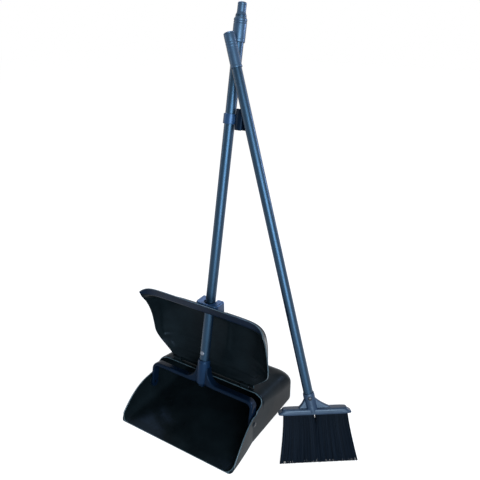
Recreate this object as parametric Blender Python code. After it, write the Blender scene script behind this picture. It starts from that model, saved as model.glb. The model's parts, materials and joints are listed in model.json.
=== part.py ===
"""Lobby dust pan with a self-closing lid, and the upright brush that leans on its handle.

Metres, +Z up. The origin is the middle of the pan's flat underside, and the open mouth faces -Y.
The handle's yoke turns on two pins low in the pan's side walls. The lid turns on two pins along the
front edge of the hood, and the handle passes through a guide on top of it, so swinging the handle
forward brings the lid down over the mouth.
"""
import math

import bmesh
import bpy
import numpy as np
from mathutils import Matrix, Vector

# ---- clearances -------------------------------------------------------------------------------
GAP = 0.0003                  # between pieces that touch
PIN_FIT = 0.0004              # all round a turning pin
GUIDE_PLAY = 0.0013           # between the handle and each long side of its guide
GUIDE_END_PLAY = 0.0012       # between the handle and the guide's ends at full travel

# ---- pan --------------------------------------------------------------------------------------
PAN_DEPTH = 0.288             # lip to rear wall
PAN_WAIST = 0.1450            # half width where the flare ends
REAR_SPREAD = 0.0020          # extra half width at the rear
LIP_SPREAD = 0.0085           # extra half width at the lip
FLARE_DEPTH = 0.097           # how far back the flare reaches
PAN_WALL = 0.0024
HOOD_HEIGHT = 0.1000          # at the hood's front edge
HOOD_FALL = 0.13              # drop per metre towards the rear
HOOD_FRONT = 0.142            # lip to the hood's front edge
SIDE_TOP = 0.0700             # where the side wall's front edge meets the step
STEP_DEPTH = 0.113            # lip to the step below the hood
STEP_RISE = 0.007             # height of the step
EDGE_SWEEP = 2.1              # how quickly the side wall's front edge rises
SHOULDER_FRONT = 0.022        # hood to side walls at the hood's front edge
SHOULDER_SIDE = 0.034         # hood to side walls at the rear
SHOULDER_REAR = 0.038         # hood to rear wall
FLOOR_RADIUS = 0.0075         # floor to walls, outside
FLOOR_FILLET_FRONT = 0.016    # floor to walls, inside
FLOOR_FILLET_REAR = 0.009
REAR_CORNER_RADIUS = 0.022
LIP_EDGE = 0.0009             # thickness of the lip's edge
LIP_CORNER = 0.0110           # rounding of the lip's two corners
LIP_RAMP = 0.022              # how far back the lip thins

# ---- handle -----------------------------------------------------------------------------------
PIVOT_BACK = 0.1038           # lip to the yoke's pins
PIVOT_HEIGHT = 0.050
HANDLE_LEAN = math.radians(12.2)
TUBE_RADIUS = 0.011
TUBE_WALL = 0.0012
TUBE_TOP = 0.8310             # along the handle from the pins
PIN_RADIUS = 0.003
PIN_HEAD_RADIUS = 0.0055
PIN_HEAD = 0.0018
BOSS_RADIUS = 0.0105
YOKE_FRONT = 0.008            # yoke in front of the handle's axis
YOKE_BACK = 0.012             # and behind it
ARM_OUTER = 0.1390
ARM_WIDTH = 0.0070
ARM_TAIL = 0.0125             # arm below the pins
BAR_LOW = 0.0440              # crossbar's lower edge along the handle
BAR_HIGH = 0.0530
BAR_OUTER_RADIUS = 0.017
BAR_INNER_RADIUS = 0.011
SOCKET_RADIUS = 0.0142
SOCKET_TOP = 0.1040
SOCKET_FLOOR = 0.0700         # where the tube bottoms
WING_SPREAD = 0.046           # how far the socket's wings reach to each side
TAB_HALF = 0.007
TAB_DROP = 0.006
RIVET_HEIGHT = 0.1215
RIVET_RADIUS = 0.0030
RIVET_HEAD = 0.0014
GRIP_BOTTOM = 0.7810
GRIP_TOP = 0.8275
GRIP_RADIUS = 0.0132
GRIP_RING = 0.0008            # depth of a groove round the grip
GRIP_RING_PITCH = 0.0040
GRIP_RINGS = 2
STUB_RADIUS = 0.0088
STUB_TOP = 0.8555
STUB_SHOULDER = 0.0040
STUB_PLUG = 0.0180            # how far the stub reaches into the tube

# ---- brush clip on the handle -----------------------------------------------------------------
COLLAR_BOTTOM = 0.6240
COLLAR_TOP = 0.6445
COLLAR_RADIUS = 0.0138
CLIP_BOTTOM = 0.6140
CLIP_TOP = 0.6560
CLIP_WALL = 0.0021
CLIP_MOUTH = math.radians(52) # half the clip's opening
CLIP_WEB_HALF = 0.0050
CLIP_PAD = 0.0010             # collar's pad under the clip
CLIP_RIVET_RADIUS = 0.0022

# ---- lid --------------------------------------------------------------------------------------
LID_WALL = 0.0024
HINGE_BACK = 0.0050           # hood's front edge to the lid's axis
HINGE_RISE = 0.0045           # hood's top to the lid's axis
KNUCKLE_OFFSET = 0.0940       # middle of each knuckle
KNUCKLE_WIDTH = 0.0140
KNUCKLE_RADIUS = 0.0045
EAR_WIDTH = 0.0030
HINGE_PIN_RADIUS = 0.0019
HINGE_PIN_HEAD = 0.0034
HINGE_PIN_CAP = 0.0012
HANDLE_TRAVEL = math.radians(84.5)
LID_TRAVEL = math.radians(109.5)
LID_RATIO = LID_TRAVEL / HANDLE_TRAVEL

# ---- guide on the lid -------------------------------------------------------------------------
GUIDE_HALF = 0.0255
GUIDE_FLARE = 0.0025          # how much wider the guide is at its base
GUIDE_RISE = 0.0220           # guide's top above the wall where the handle passes
GUIDE_WEB = 0.0040            # material in front of the handle
GUIDE_REAR = 0.0150           # guide's legs behind the handle's axis
GUIDE_EDGE = 0.0045           # rounding of the guide

# ---- brush ------------------------------------------------------------------------------------
BRUSH_FOOT_X = 0.2818
BRUSH_FOOT_BACK = 0.1381      # behind the lip
BRUSH_YAW = math.radians(35.7)
SOCKET_TILT = math.radians(11.8)
BRISTLE_LENGTH = 0.1010
BRISTLE_FOOT_HALF = 0.0834
BRISTLE_ROOT_HALF = 0.0678
BRISTLE_ROOT_THICK = 0.020
BRISTLE_FOOT_THICK = 0.026
BRISTLE_SPLIT = 0.0050        # between the two bunches at the block
BRISTLE_END_SLANT = 0.0070    # outer ends are shorter at the back
HEAD_SHIFT = -0.0065          # block and bristle roots, sideways from the middle of the foot
BLOCK_HALF = 0.0770           # half length of the lower edge
BLOCK_SLANT = 0.0085          # how much shorter the upper edge is at each end
BLOCK_HEIGHT = 0.0125
BLOCK_THICK = 0.0230
BLOCK_CHAMFER = 0.0045        # block's upper edges
BLOCK_END_RADIUS = 0.0050
BROOM_SOCKET_OFFSET = -0.0133 # socket's axis at the block's top
BROOM_SOCKET_RADIUS = 0.0120
BROOM_SOCKET_RISE = 0.0330
BROOM_SOCKET_FLOOR = 0.0060
GUSSET_LONG = 0.0385
GUSSET_SHORT = 0.0200
GUSSET_HALF = 0.0060
BROOM_TUBE_RADIUS = 0.0100
BROOM_TUBE_TOP = 0.7700
BROOM_GRIP_BOTTOM = 0.7060
BROOM_GRIP_RADIUS = 0.0112
BROOM_GRIP_FLANGE = 0.0118
BROOM_FLANGE_HEIGHT = 0.0030
BROOM_CAP = 0.0045
BROOM_CAP_PLUG = 0.0160
SCREW_HEIGHT = 0.0240
SCREW_RADIUS = 0.0028

# ---- derived ----------------------------------------------------------------------------------
LIP_Y = -PAN_DEPTH / 2.0
PIVOT = Vector((0.0, LIP_Y + PIVOT_BACK, PIVOT_HEIGHT))
HINGE = Vector((0.0, LIP_Y + HOOD_FRONT + HINGE_BACK, HOOD_HEIGHT + HINGE_RISE))
ALONG = Vector((0.0, math.sin(HANDLE_LEAN), math.cos(HANDLE_LEAN)))
BEHIND = Vector((0.0, math.cos(HANDLE_LEAN), -math.sin(HANDLE_LEAN)))
TUBE_BORE = TUBE_RADIUS - TUBE_WALL
CLIP_BORE = BROOM_TUBE_RADIUS + GAP
CLIP_RADIUS = CLIP_BORE + CLIP_WALL
CLIP_X = COLLAR_RADIUS + CLIP_PAD + GAP + CLIP_RADIUS

# Lid sections from the hinge to the rim, as (back, up) from the hinge axis.
LID_MIDDLE = [(0.0055, 0.0040), (0.0210, 0.0135), (0.0340, 0.0345), (0.0410, 0.0635),
              (0.0450, 0.0915), (0.0450, 0.1175), (0.0385, 0.1370), (0.0260, 0.1505),
              (0.0110, 0.1595), (-0.0280, 0.1750), (-0.0330, 0.1950)]
LID_SIDE = [(0.0055, 0.0040), (0.0060, 0.0180), (0.0030, 0.0370), (-0.0045, 0.0605),
            (-0.0075, 0.0795), (-0.0105, 0.0985), (-0.0145, 0.1160), (-0.0205, 0.1350),
            (-0.0280, 0.1520), (-0.0370, 0.1670), (-0.0430, 0.1820)]
LID_HALF = [0.1130, 0.1310, 0.1480, 0.1545, 0.1550, 0.1550, 0.1550, 0.1560,
            0.1575, 0.1595, 0.1610]
LID_CREASE = 9                # the top wall runs from the station before this one to it
LID_DISH = 4.0                # how squarely a cross-section dishes below the top wall
LID_DISH_RIM = 12.0           # and at the rim

PLASTIC = (0.012, 0.014, 0.018)
FINISHES = {
    "black_plastic": (PLASTIC, 0.32, 0.0),
    "handle_paint": ((0.014, 0.018, 0.026), 0.22, 0.0),
    "grip_plastic": ((0.016, 0.020, 0.027), 0.45, 0.0),
    "bright_steel": ((0.45, 0.46, 0.48), 0.30, 1.0),
    "bristle_nylon": ((0.010, 0.013, 0.022), 0.55, 0.0),
    "broom_plastic": ((0.030, 0.040, 0.058), 0.38, 0.0),
}


# ---- scene and small helpers ------------------------------------------------------------------
def clear_scene():
    for thing in list(bpy.data.objects):
        bpy.data.objects.remove(thing, do_unlink=True)


def finish(name):
    """The Principled material of one finish, made once."""
    found = bpy.data.materials.get(name)
    if found:
        return found
    colour, rough, metal = FINISHES[name]
    made = bpy.data.materials.new(name)
    made.use_nodes = True
    shader = made.node_tree.nodes["Principled BSDF"]
    shader.inputs["Base Color"].default_value = (*colour, 1.0)
    shader.inputs["Roughness"].default_value = rough
    shader.inputs["Metallic"].default_value = metal
    return made


def empty(name, place, parent=None):
    thing = bpy.data.objects.new(name, None)
    bpy.context.collection.objects.link(thing)
    thing.parent = parent
    thing.matrix_basis = place
    return thing


def solid(name, bm, surface, parent=None, place=None):
    """Turn a closed bmesh into a named object, smooth where its faces nearly agree."""
    bmesh.ops.remove_doubles(bm, verts=bm.verts, dist=1e-6)
    bmesh.ops.recalc_face_normals(bm, faces=bm.faces)
    if bm.calc_volume(signed=True) < 0.0:
        bmesh.ops.reverse_faces(bm, faces=bm.faces)
    mesh = bpy.data.meshes.new(name)
    bm.to_mesh(mesh)
    bm.free()
    mesh.materials.append(finish(surface))
    mesh.shade_smooth()
    mesh.set_sharp_from_angle(angle=math.radians(35))
    thing = bpy.data.objects.new(name, mesh)
    bpy.context.collection.objects.link(thing)
    thing.parent = parent
    if place is not None:
        thing.matrix_basis = place
    return thing


def tool(name, bm, parent=None, place=None):
    """A hidden cutter or filler for a Boolean."""
    thing = solid(name, bm, "black_plastic", parent, place)
    thing.hide_render = True
    thing.display_type = "WIRE"
    return thing


def combine(target, other, operation):
    step = target.modifiers.new(operation.lower() + "_" + other.name, "BOOLEAN")
    step.operation = operation
    step.solver = "EXACT"
    step.object = other


def cut(target, *others):
    for other in others:
        combine(target, other, "DIFFERENCE")


def add(target, *others):
    for other in others:
        combine(target, other, "UNION")


def ring_steps(radius):
    return 32 if radius > 0.009 else 20


def turned(profile, steps):
    """Closed solid turned about Z from a closed (radius, height) outline."""
    bm = bmesh.new()
    points = [bm.verts.new((radius, 0.0, height)) for radius, height in profile]
    edges = [bm.edges.new((points[i - 1], points[i])) for i in range(1, len(points))]
    if profile[0][0] > 0.0:
        edges.append(bm.edges.new((points[-1], points[0])))
    bmesh.ops.spin(bm, geom=points + edges, cent=(0, 0, 0), axis=(0, 0, 1),
                   angle=2 * math.pi, steps=steps, use_merge=True)
    bmesh.ops.remove_doubles(bm, verts=bm.verts, dist=1e-6)
    return bm


def rod(radius, low, high, steps=None):
    """Solid round bar along Z, from low to high."""
    return turned([(0.0, low), (radius, low), (radius, high), (0.0, high)],
                  steps or ring_steps(radius))


def pipe(radius, bore, low, high):
    """Round tube along Z, open at both ends."""
    return turned([(bore, low), (radius, low), (radius, high), (bore, high)],
                  ring_steps(radius))


def prism(outline, low, high):
    """Flat outline in XY raised along Z."""
    bm = bmesh.new()
    face = bm.faces.new([bm.verts.new((x, y, low)) for x, y in outline])
    raised = bmesh.ops.extrude_face_region(bm, geom=[face])
    tops = [item for item in raised["geom"] if isinstance(item, bmesh.types.BMVert)]
    bmesh.ops.translate(bm, verts=tops, vec=(0, 0, high - low))
    return bm


def side_prism(outline, half):
    """Outline in (y, z) carried along X from -half to +half."""
    bm = prism(outline, -half, half)
    bmesh.ops.transform(bm, matrix=Matrix(((0, 0, 1, 0), (1, 0, 0, 0), (0, 1, 0, 0), (0, 0, 0, 1))),
                        verts=bm.verts)
    return bm


def arc(centre, radius, start, end, steps):
    """Points on an arc, angles in degrees."""
    angles = np.radians(np.linspace(start, end, steps + 1))
    return [(centre[0] + radius * math.cos(a), centre[1] + radius * math.sin(a)) for a in angles]


def box(low, high):
    bm = bmesh.new()
    bmesh.ops.create_cube(bm, size=1.0)
    size = Vector(high) - Vector(low)
    middle = (Vector(high) + Vector(low)) / 2.0
    bmesh.ops.transform(bm, matrix=Matrix.Translation(middle) @ Matrix.Diagonal((*size, 1.0)),
                        verts=bm.verts)
    return bm


def rounded(thing, width, segments=2, angle=40.0):
    step = thing.modifiers.new("rounded", "BEVEL")
    step.width = width
    step.segments = segments
    step.limit_method = "ANGLE"
    step.angle_limit = math.radians(angle)
    step.harden_normals = False
    return step


# ---- pan --------------------------------------------------------------------------------------
def pan_half_width(depth):
    """Half width at a distance back from the lip: flared to the lip, spread to the rear."""
    if depth < FLARE_DEPTH:
        part = max(depth, 0.0) / FLARE_DEPTH
        return PAN_WAIST + LIP_SPREAD * (1.0 - part ** 1.6)
    return PAN_WAIST + REAR_SPREAD * (depth - FLARE_DEPTH) / (PAN_DEPTH - FLARE_DEPTH)


def hood_top(depth):
    return HOOD_HEIGHT - HOOD_FALL * (depth - HOOD_FRONT)


def floor_radius(depth, wall):
    """Radius between floor and walls, outside for wall 0 and inside otherwise."""
    if wall == 0.0:
        return FLOOR_RADIUS
    part = min(max(depth / PAN_DEPTH, 0.0), 1.0)
    return FLOOR_FILLET_FRONT + (FLOOR_FILLET_REAR - FLOOR_FILLET_FRONT) * part


def floor_ring(angle, wall, reach):
    """Loop round the floor's fillet, as (half width, depth, height) of the right half."""
    def point(depth):
        radius = floor_radius(depth, wall)
        inset = radius * (1.0 - math.sin(angle))
        return inset, wall + radius * (1.0 - math.cos(angle))

    loop = []
    for depth in side_depths(reach):
        inset, height = point(depth)
        loop.append((pan_half_width(depth) - wall - inset, depth, height))
    inset, height = point(PAN_DEPTH)
    return loop + rear_corner(wall, inset, inset, lambda turn, depth: height)


def side_shoulder(depth):
    """Radius between hood and side wall, growing towards the rear."""
    part = (depth - HOOD_FRONT) / (PAN_DEPTH - SHOULDER_REAR - REAR_CORNER_RADIUS - HOOD_FRONT)
    part = min(max(part, 0.0), 1.0)
    return SHOULDER_FRONT + (SHOULDER_SIDE - SHOULDER_FRONT) * part


def shoulder_ring(angle, wall, reach):
    """Loop round the hood's shoulder, tighter at the sides than at the rear."""
    inset = 1.0 - math.cos(angle)
    drop = 1.0 - math.sin(angle)
    loop = []
    for depth in side_depths(reach):
        radius = side_shoulder(depth) - wall
        loop.append((pan_half_width(depth) - wall - radius * inset, depth,
                     hood_top(depth) - wall - radius * drop))

    def height(turn, depth):
        radius = SHOULDER_SIDE + (SHOULDER_REAR - SHOULDER_SIDE) * math.sin(turn) ** 2
        return hood_top(depth) - wall - (radius - wall) * drop

    side = (SHOULDER_SIDE - wall) * inset
    rear = (SHOULDER_REAR - wall) * inset
    return loop + rear_corner(wall, side, rear, height)


def side_depths(reach):
    """Stations along a side, from ahead of the lip to where the rear corner starts."""
    flare = list(np.linspace(0.0, FLARE_DEPTH, 8))
    body = list(np.linspace(FLARE_DEPTH, PAN_DEPTH - SHOULDER_REAR - REAR_CORNER_RADIUS, 5))
    return [-reach] + flare + body[1:]


def rear_corner(wall, side, rear, height):
    """Plan corner at the rear for a loop inset by side and rear."""
    radius = REAR_CORNER_RADIUS - wall
    across = pan_half_width(PAN_DEPTH - SHOULDER_REAR) - wall - side - radius
    back = PAN_DEPTH - wall - rear - radius
    points = []
    for turn in np.radians(np.linspace(0.0, 90.0, 8)):
        depth = back + radius * math.sin(turn)
        points.append((across + radius * math.cos(turn), depth, height(turn, depth)))
    return points


def stacked(rings):
    """Closed solid through a stack of equal loops, lowest first."""
    bm = bmesh.new()
    rows = [[bm.verts.new(point) for point in ring] for ring in rings]
    count = len(rows[0])
    for lower, upper in zip(rows, rows[1:]):
        for i in range(count):
            j = (i + 1) % count
            bm.faces.new((lower[i], lower[j], upper[j], upper[i]))
    bm.faces.new(list(reversed(rows[0])))
    bm.faces.new(rows[-1])
    return bm


def pan_form(wall, reach):
    """Closed pillow form of the pan, set in by a wall and reaching ahead of the lip."""
    halves = [floor_ring(angle, wall, reach) for angle in np.linspace(0.0, math.pi / 2.0, 6)]
    halves += [shoulder_ring(angle, wall, reach) for angle in np.linspace(0.0, math.pi / 2.0, 8)]
    rings = []
    for half in halves:
        right = [(x, LIP_Y + depth, z) for x, depth, z in half]
        rings.append(right + [(-x, y, z) for x, y, z in reversed(right)])
    return stacked(rings)


def mouth_outline():
    """Side view of the air in front of the walls: everything above this line is cut away."""
    line = []
    for depth in np.linspace(0.0, STEP_DEPTH, 12):
        rise = SIDE_TOP * (1.0 - (1.0 - depth / STEP_DEPTH) ** EDGE_SWEEP)
        line.append((LIP_Y + depth, rise))
    step_z = SIDE_TOP + STEP_RISE
    step_y = STEP_DEPTH + STEP_RISE / 2.0
    across = HOOD_FRONT - step_y
    rise = HOOD_HEIGHT - step_z
    for turn in np.radians(np.linspace(0.0, 90.0, 7)):
        line.append((LIP_Y + step_y + across * math.sin(turn),
                     HOOD_HEIGHT - rise * math.cos(turn)))
    far = LIP_Y - 0.1
    above = HOOD_HEIGHT + 0.1
    return [(far, -0.05), (LIP_Y, -0.05)] + line + [(LIP_Y + HOOD_FRONT, above), (far, above)]


def corner_waste():
    """Plan outline of what is trimmed off to round the lip's right corner."""
    side = pan_half_width(LIP_CORNER)
    curve = arc((side - LIP_CORNER, LIP_Y + LIP_CORNER), LIP_CORNER, -90.0, 0.0, 8)
    far = side + 0.03
    return curve + [(far, LIP_Y + LIP_CORNER), (far, LIP_Y - 0.03), (curve[0][0], LIP_Y - 0.03)]


def ear_outline():
    """Side view of a hinge ear: round over the lid's pin, rooted in the hood."""
    root = HOOD_HEIGHT - PAN_WALL / 2.0
    foot = root - HOOD_FALL * (HINGE_BACK + KNUCKLE_RADIUS)
    top = arc((HINGE.y, HINGE.z), KNUCKLE_RADIUS, 0.0, 180.0, 10)
    return top + [(HINGE.y - KNUCKLE_RADIUS, root), (HINGE.y + KNUCKLE_RADIUS, foot)]


def ear_spans():
    """The x ranges of the four hinge ears."""
    inner = KNUCKLE_OFFSET - KNUCKLE_WIDTH / 2.0 - GAP
    outer = KNUCKLE_OFFSET + KNUCKLE_WIDTH / 2.0 + GAP
    right = [(inner - EAR_WIDTH, inner), (outer, outer + EAR_WIDTH)]
    return right + [(-high, -low) for low, high in right]


def make_pan():
    body = solid("pan_body", pan_form(0.0, 0.03), "black_plastic")
    cut(body, tool("pan_cavity", pan_form(PAN_WALL, 0.05)))
    cut(body, tool("pan_mouth", side_prism(mouth_outline(), 0.3)))
    ramp = [(LIP_Y - 0.05, LIP_EDGE), (LIP_Y, LIP_EDGE), (LIP_Y + LIP_RAMP, PAN_WALL + GAP),
            (LIP_Y - 0.05, PAN_WALL + GAP)]
    ramp_half = pan_half_width(0.0) - PAN_WALL - FLOOR_FILLET_FRONT
    cut(body, tool("lip_ramp", side_prism(ramp, ramp_half)))
    for side, word in ((1, "right"), (-1, "left")):
        waste = prism([(side * x, y) for x, y in corner_waste()], -0.02, 0.05)
        cut(body, tool("lip_corner_" + word, waste))
    wall_inside = pan_half_width(PIVOT_BACK) - PAN_WALL
    for side, word in ((1, "right"), (-1, "left")):
        low = ARM_OUTER + GAP
        high = wall_inside + PAN_WALL / 2.0
        boss = tool("pivot_boss_" + word, rod(BOSS_RADIUS, low, high, 28), None,
                    pin_place(PIVOT, side))
        add(body, boss)
    for index, (low, high) in enumerate(ear_spans()):
        ear = tool("hinge_ear_%d" % index, side_prism(ear_outline(), (high - low) / 2.0), None,
                   Matrix.Translation(((low + high) / 2.0, 0.0, 0.0)))
        add(body, ear)
    pivot_hole = rod(PIN_RADIUS + PIN_FIT, -0.2, 0.2, 20)
    cut(body, tool("pivot_hole", pivot_hole, None, pin_place(PIVOT, 1)))
    lid_hole = rod(HINGE_PIN_RADIUS + PIN_FIT, -0.2, 0.2, 16)
    cut(body, tool("lid_pin_hole", lid_hole, None, pin_place(HINGE, 1)))
    return body


def pin_place(centre, side):
    """Place a Z-built piece along +X for the right side or -X for the left."""
    turn = Matrix.Rotation(side * math.pi / 2.0, 4, "Y")
    return Matrix.Translation(centre) @ turn


def pan_pin(name, side, parent):
    """Headed pin through the side wall, its boss and the yoke's arm."""
    outside = pan_half_width(PIVOT_BACK) + GAP
    head = outside + PIN_HEAD
    dome = [(0.0, head), (PIN_HEAD_RADIUS * 0.6, head - PIN_HEAD * 0.15),
            (PIN_HEAD_RADIUS, head - PIN_HEAD * 0.7)]
    inner = ARM_OUTER - ARM_WIDTH
    profile = [(0.0, inner), (PIN_RADIUS, inner), (PIN_RADIUS, outside), (PIN_HEAD_RADIUS, outside)]
    profile += list(reversed(dome))
    pin = solid(name, turned(profile, 24), "bright_steel", parent)
    pin.matrix_basis = Matrix.Rotation(side * math.pi / 2.0, 4, "Y")
    return pin


# ---- yoke, handle and grip --------------------------------------------------------------------
def yoke_outline():
    """Front view of the yoke in (x, along the handle), right half, from the middle of the bar."""
    inner = ARM_OUTER - ARM_WIDTH
    right = [(TAB_HALF, BAR_LOW - TAB_DROP), (TAB_HALF, BAR_LOW)]
    right += arc((inner - BAR_INNER_RADIUS, BAR_LOW - BAR_INNER_RADIUS), BAR_INNER_RADIUS, 90, 0, 5)
    right += [(inner, -ARM_TAIL), (ARM_OUTER, -ARM_TAIL)]
    right += arc((ARM_OUTER - BAR_OUTER_RADIUS, BAR_HIGH - BAR_OUTER_RADIUS), BAR_OUTER_RADIUS,
                 0, 90, 7)
    for part in np.linspace(0.0, 1.0, 8):
        x = WING_SPREAD + (SOCKET_RADIUS - WING_SPREAD) * math.sin(part * math.pi / 2.0)
        rise = (SOCKET_TOP - BAR_HIGH) * 0.7 * (1.0 - math.cos(part * math.pi / 2.0))
        right.append((x, BAR_HIGH + rise))
    left = [(-x, s) for x, s in reversed(right)]
    return right + left


def make_yoke(parent):
    """Yoke frame: X across, Y behind the handle, Z along it."""
    upright = Matrix.Rotation(math.pi / 2.0, 4, "X")
    bm = prism(yoke_outline(), -YOKE_BACK, YOKE_FRONT)
    bmesh.ops.transform(bm, matrix=upright, verts=bm.verts)
    yoke = solid("yoke", bm, "black_plastic", parent)
    rounded(yoke, 0.0022, 2, 50.0)
    add(yoke, tool("socket_sleeve", rod(SOCKET_RADIUS, BAR_LOW + 0.004, SOCKET_TOP), parent))
    cut(yoke, tool("tube_seat", rod(TUBE_RADIUS + GAP, SOCKET_FLOOR - GAP, SOCKET_TOP + 0.02),
                   parent))
    cut(yoke, tool("arm_holes", rod(PIN_RADIUS + GAP, -0.2, 0.2, 20), parent,
                   Matrix.Rotation(math.pi / 2.0, 4, "Y")))
    return yoke


def make_handle(parent):
    tube = pipe(TUBE_RADIUS, TUBE_BORE, SOCKET_FLOOR, TUBE_TOP)
    handle = solid("pan_handle_tube", tube, "handle_paint", parent)
    cut(handle, tool("rivet_hole", rod(RIVET_RADIUS + GAP, 0.0, 0.03, 16), parent,
                     rivet_place(RIVET_HEIGHT)))
    shank = TUBE_BORE - 0.003
    face = TUBE_RADIUS + GAP
    profile = [(0.0, shank), (RIVET_RADIUS, shank), (RIVET_RADIUS, face),
               (RIVET_RADIUS * 1.6, face), (RIVET_RADIUS * 1.3, face + RIVET_HEAD * 0.8),
               (0.0, face + RIVET_HEAD)]
    solid("handle_rivet", turned(profile, 20), "bright_steel", parent, rivet_place(RIVET_HEIGHT))


def rivet_place(height):
    """Radial axis pointing forward out of the handle at a height."""
    return Matrix.Translation((0, 0, height)) @ Matrix.Rotation(math.pi / 2.0, 4, "X")


def make_grip(parent):
    bore = TUBE_RADIUS + GAP
    outer = GRIP_RADIUS
    groove = GRIP_RING
    profile = [(bore, GRIP_BOTTOM), (outer - groove, GRIP_BOTTOM), (outer, GRIP_BOTTOM + groove)]
    for step in range(GRIP_RINGS):
        base = GRIP_TOP - 0.0040 - (GRIP_RINGS - step) * GRIP_RING_PITCH
        profile += [(outer, base), (outer - groove, base + groove),
                    (outer - groove, base + 2 * groove), (outer, base + 3 * groove)]
    profile += [(outer, GRIP_TOP - 0.0030), (outer - 0.0022, GRIP_TOP), (bore, GRIP_TOP)]
    solid("pan_grip", turned(profile, 32), "grip_plastic", parent)
    plug = TUBE_BORE - GAP
    seat = TUBE_TOP + GAP
    brim = TUBE_RADIUS
    profile = [(0.0, TUBE_TOP - STUB_PLUG), (plug, TUBE_TOP - STUB_PLUG), (plug, seat),
               (brim, seat), (STUB_RADIUS + 0.0004, seat + STUB_SHOULDER),
               (STUB_RADIUS, seat + STUB_SHOULDER + 0.002), (STUB_RADIUS, STUB_TOP - 0.0015),
               (STUB_RADIUS - 0.0015, STUB_TOP), (0.0, STUB_TOP)]
    solid("hanging_stub", turned(profile, 32), "grip_plastic", parent)


def make_clip(parent):
    """Collar on the handle with a pad, and the open jaw that takes the brush's handle."""
    collar = pipe(COLLAR_RADIUS, TUBE_RADIUS + GAP, COLLAR_BOTTOM, COLLAR_TOP)
    collar = solid("clip_collar", collar, "black_plastic", parent)
    pad_face = COLLAR_RADIUS + CLIP_PAD
    pad = box((COLLAR_RADIUS - 0.0015, -CLIP_WEB_HALF, COLLAR_BOTTOM + 0.002),
              (pad_face, CLIP_WEB_HALF, COLLAR_TOP - 0.002))
    add(collar, tool("clip_pad", pad, parent))
    outline = arc((0, 0), CLIP_RADIUS, math.degrees(CLIP_MOUTH), 360 - math.degrees(CLIP_MOUTH), 28)
    outline += arc((0, 0), CLIP_BORE, 360 - math.degrees(CLIP_MOUTH), math.degrees(CLIP_MOUTH), 28)
    jaw = solid("brush_clip", prism(outline, CLIP_BOTTOM, CLIP_TOP), "black_plastic", parent,
                Matrix.Translation((CLIP_X, 0, 0)))
    heel = box((pad_face + GAP, -CLIP_WEB_HALF, CLIP_BOTTOM + 0.004),
               (pad_face + GAP + CLIP_WALL, CLIP_WEB_HALF, CLIP_TOP - 0.004))
    add(jaw, tool("clip_heel", heel, parent))
    cut(jaw, tool("clip_bore", rod(CLIP_BORE, CLIP_BOTTOM - 0.01, CLIP_TOP + 0.01), parent,
                  Matrix.Translation((CLIP_X, 0, 0))))
    middle = (COLLAR_BOTTOM + COLLAR_TOP) / 2.0
    seat = Matrix.Translation((0, 0, middle)) @ Matrix.Rotation(math.pi / 2.0, 4, "Y")
    hole = tool("clip_rivet_hole", rod(CLIP_RIVET_RADIUS + GAP, TUBE_RADIUS, 0.03, 16), parent, seat)
    cut(collar, hole)
    cut(jaw, hole)
    end = CLIP_X - CLIP_BORE
    solid("clip_rivet", rod(CLIP_RIVET_RADIUS, TUBE_RADIUS + 2 * GAP, end - GAP, 16),
          "bright_steel", parent, seat)


# ---- lid --------------------------------------------------------------------------------------
def smooth_between(values, index, part):
    """Catmull-Rom value between stations index and index + 1."""
    last = len(values) - 1
    a = np.array(values[max(index - 1, 0)], dtype=float)
    b = np.array(values[index], dtype=float)
    c = np.array(values[index + 1], dtype=float)
    d = np.array(values[min(index + 2, last)], dtype=float)
    return 0.5 * (2 * b + (c - a) * part + (2 * a - 5 * b + 4 * c - d) * part ** 2
                  + (3 * b - a - 3 * c + d) * part ** 3)


def lid_stations():
    """(middle, side, half width) rows from the hinge to the rim; the top wall stays flat."""
    rows = []
    wall = LID_CREASE - 1
    for index in range(wall):
        for part in (0.0, 1.0 / 3.0, 2.0 / 3.0):
            rows.append(tuple(smooth_between(curve[:wall + 1], index, part)
                              for curve in (LID_MIDDLE, LID_SIDE, LID_HALF)))
    for index, parts in ((wall, (0.0, 0.34, 0.67)), (LID_CREASE, (0.0, 0.5, 1.0))):
        for part in parts:
            rows.append(tuple(np.array(curve[index]) * (1 - part) + np.array(curve[index + 1]) * part
                              for curve in (LID_MIDDLE, LID_SIDE, LID_HALF)))
    return rows


def lid_sheet():
    """Open sheet of the lid's middle surface, in the lid's frame."""
    bm = bmesh.new()
    across = np.sin(np.linspace(-math.pi / 2.0, math.pi / 2.0, 27))
    rows = []
    stations = lid_stations()
    for index, (middle, side, half) in enumerate(stations):
        part = index / (len(stations) - 1)
        power = LID_DISH + (LID_DISH_RIM - LID_DISH) * part ** 3
        row = []
        for s in across:
            dish = 1.0 - abs(s) ** power
            back = side[0] + (middle[0] - side[0]) * dish
            up = side[1] + (middle[1] - side[1]) * dish
            row.append(bm.verts.new((float(half) * s, back, up)))
        rows.append(row)
    for low, high in zip(rows, rows[1:]):
        for i in range(len(across) - 1):
            bm.faces.new((low[i], low[i + 1], high[i + 1], high[i]))
    return bm


def top_wall():
    """The top wall's line in the lid's frame: a point on it and its direction to the rear."""
    front = Vector((0.0, *LID_MIDDLE[LID_CREASE]))
    back = Vector((0.0, *LID_MIDDLE[LID_CREASE - 1]))
    return front, (back - front).normalized()


def handle_crossing():
    """Distance from the pins, along the resting handle, to the lid's top wall."""
    front, slope = top_wall()
    normal = Vector((0.0, -slope.z, slope.y))
    return (HINGE + front - PIVOT).dot(normal) / ALONG.dot(normal)


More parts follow.
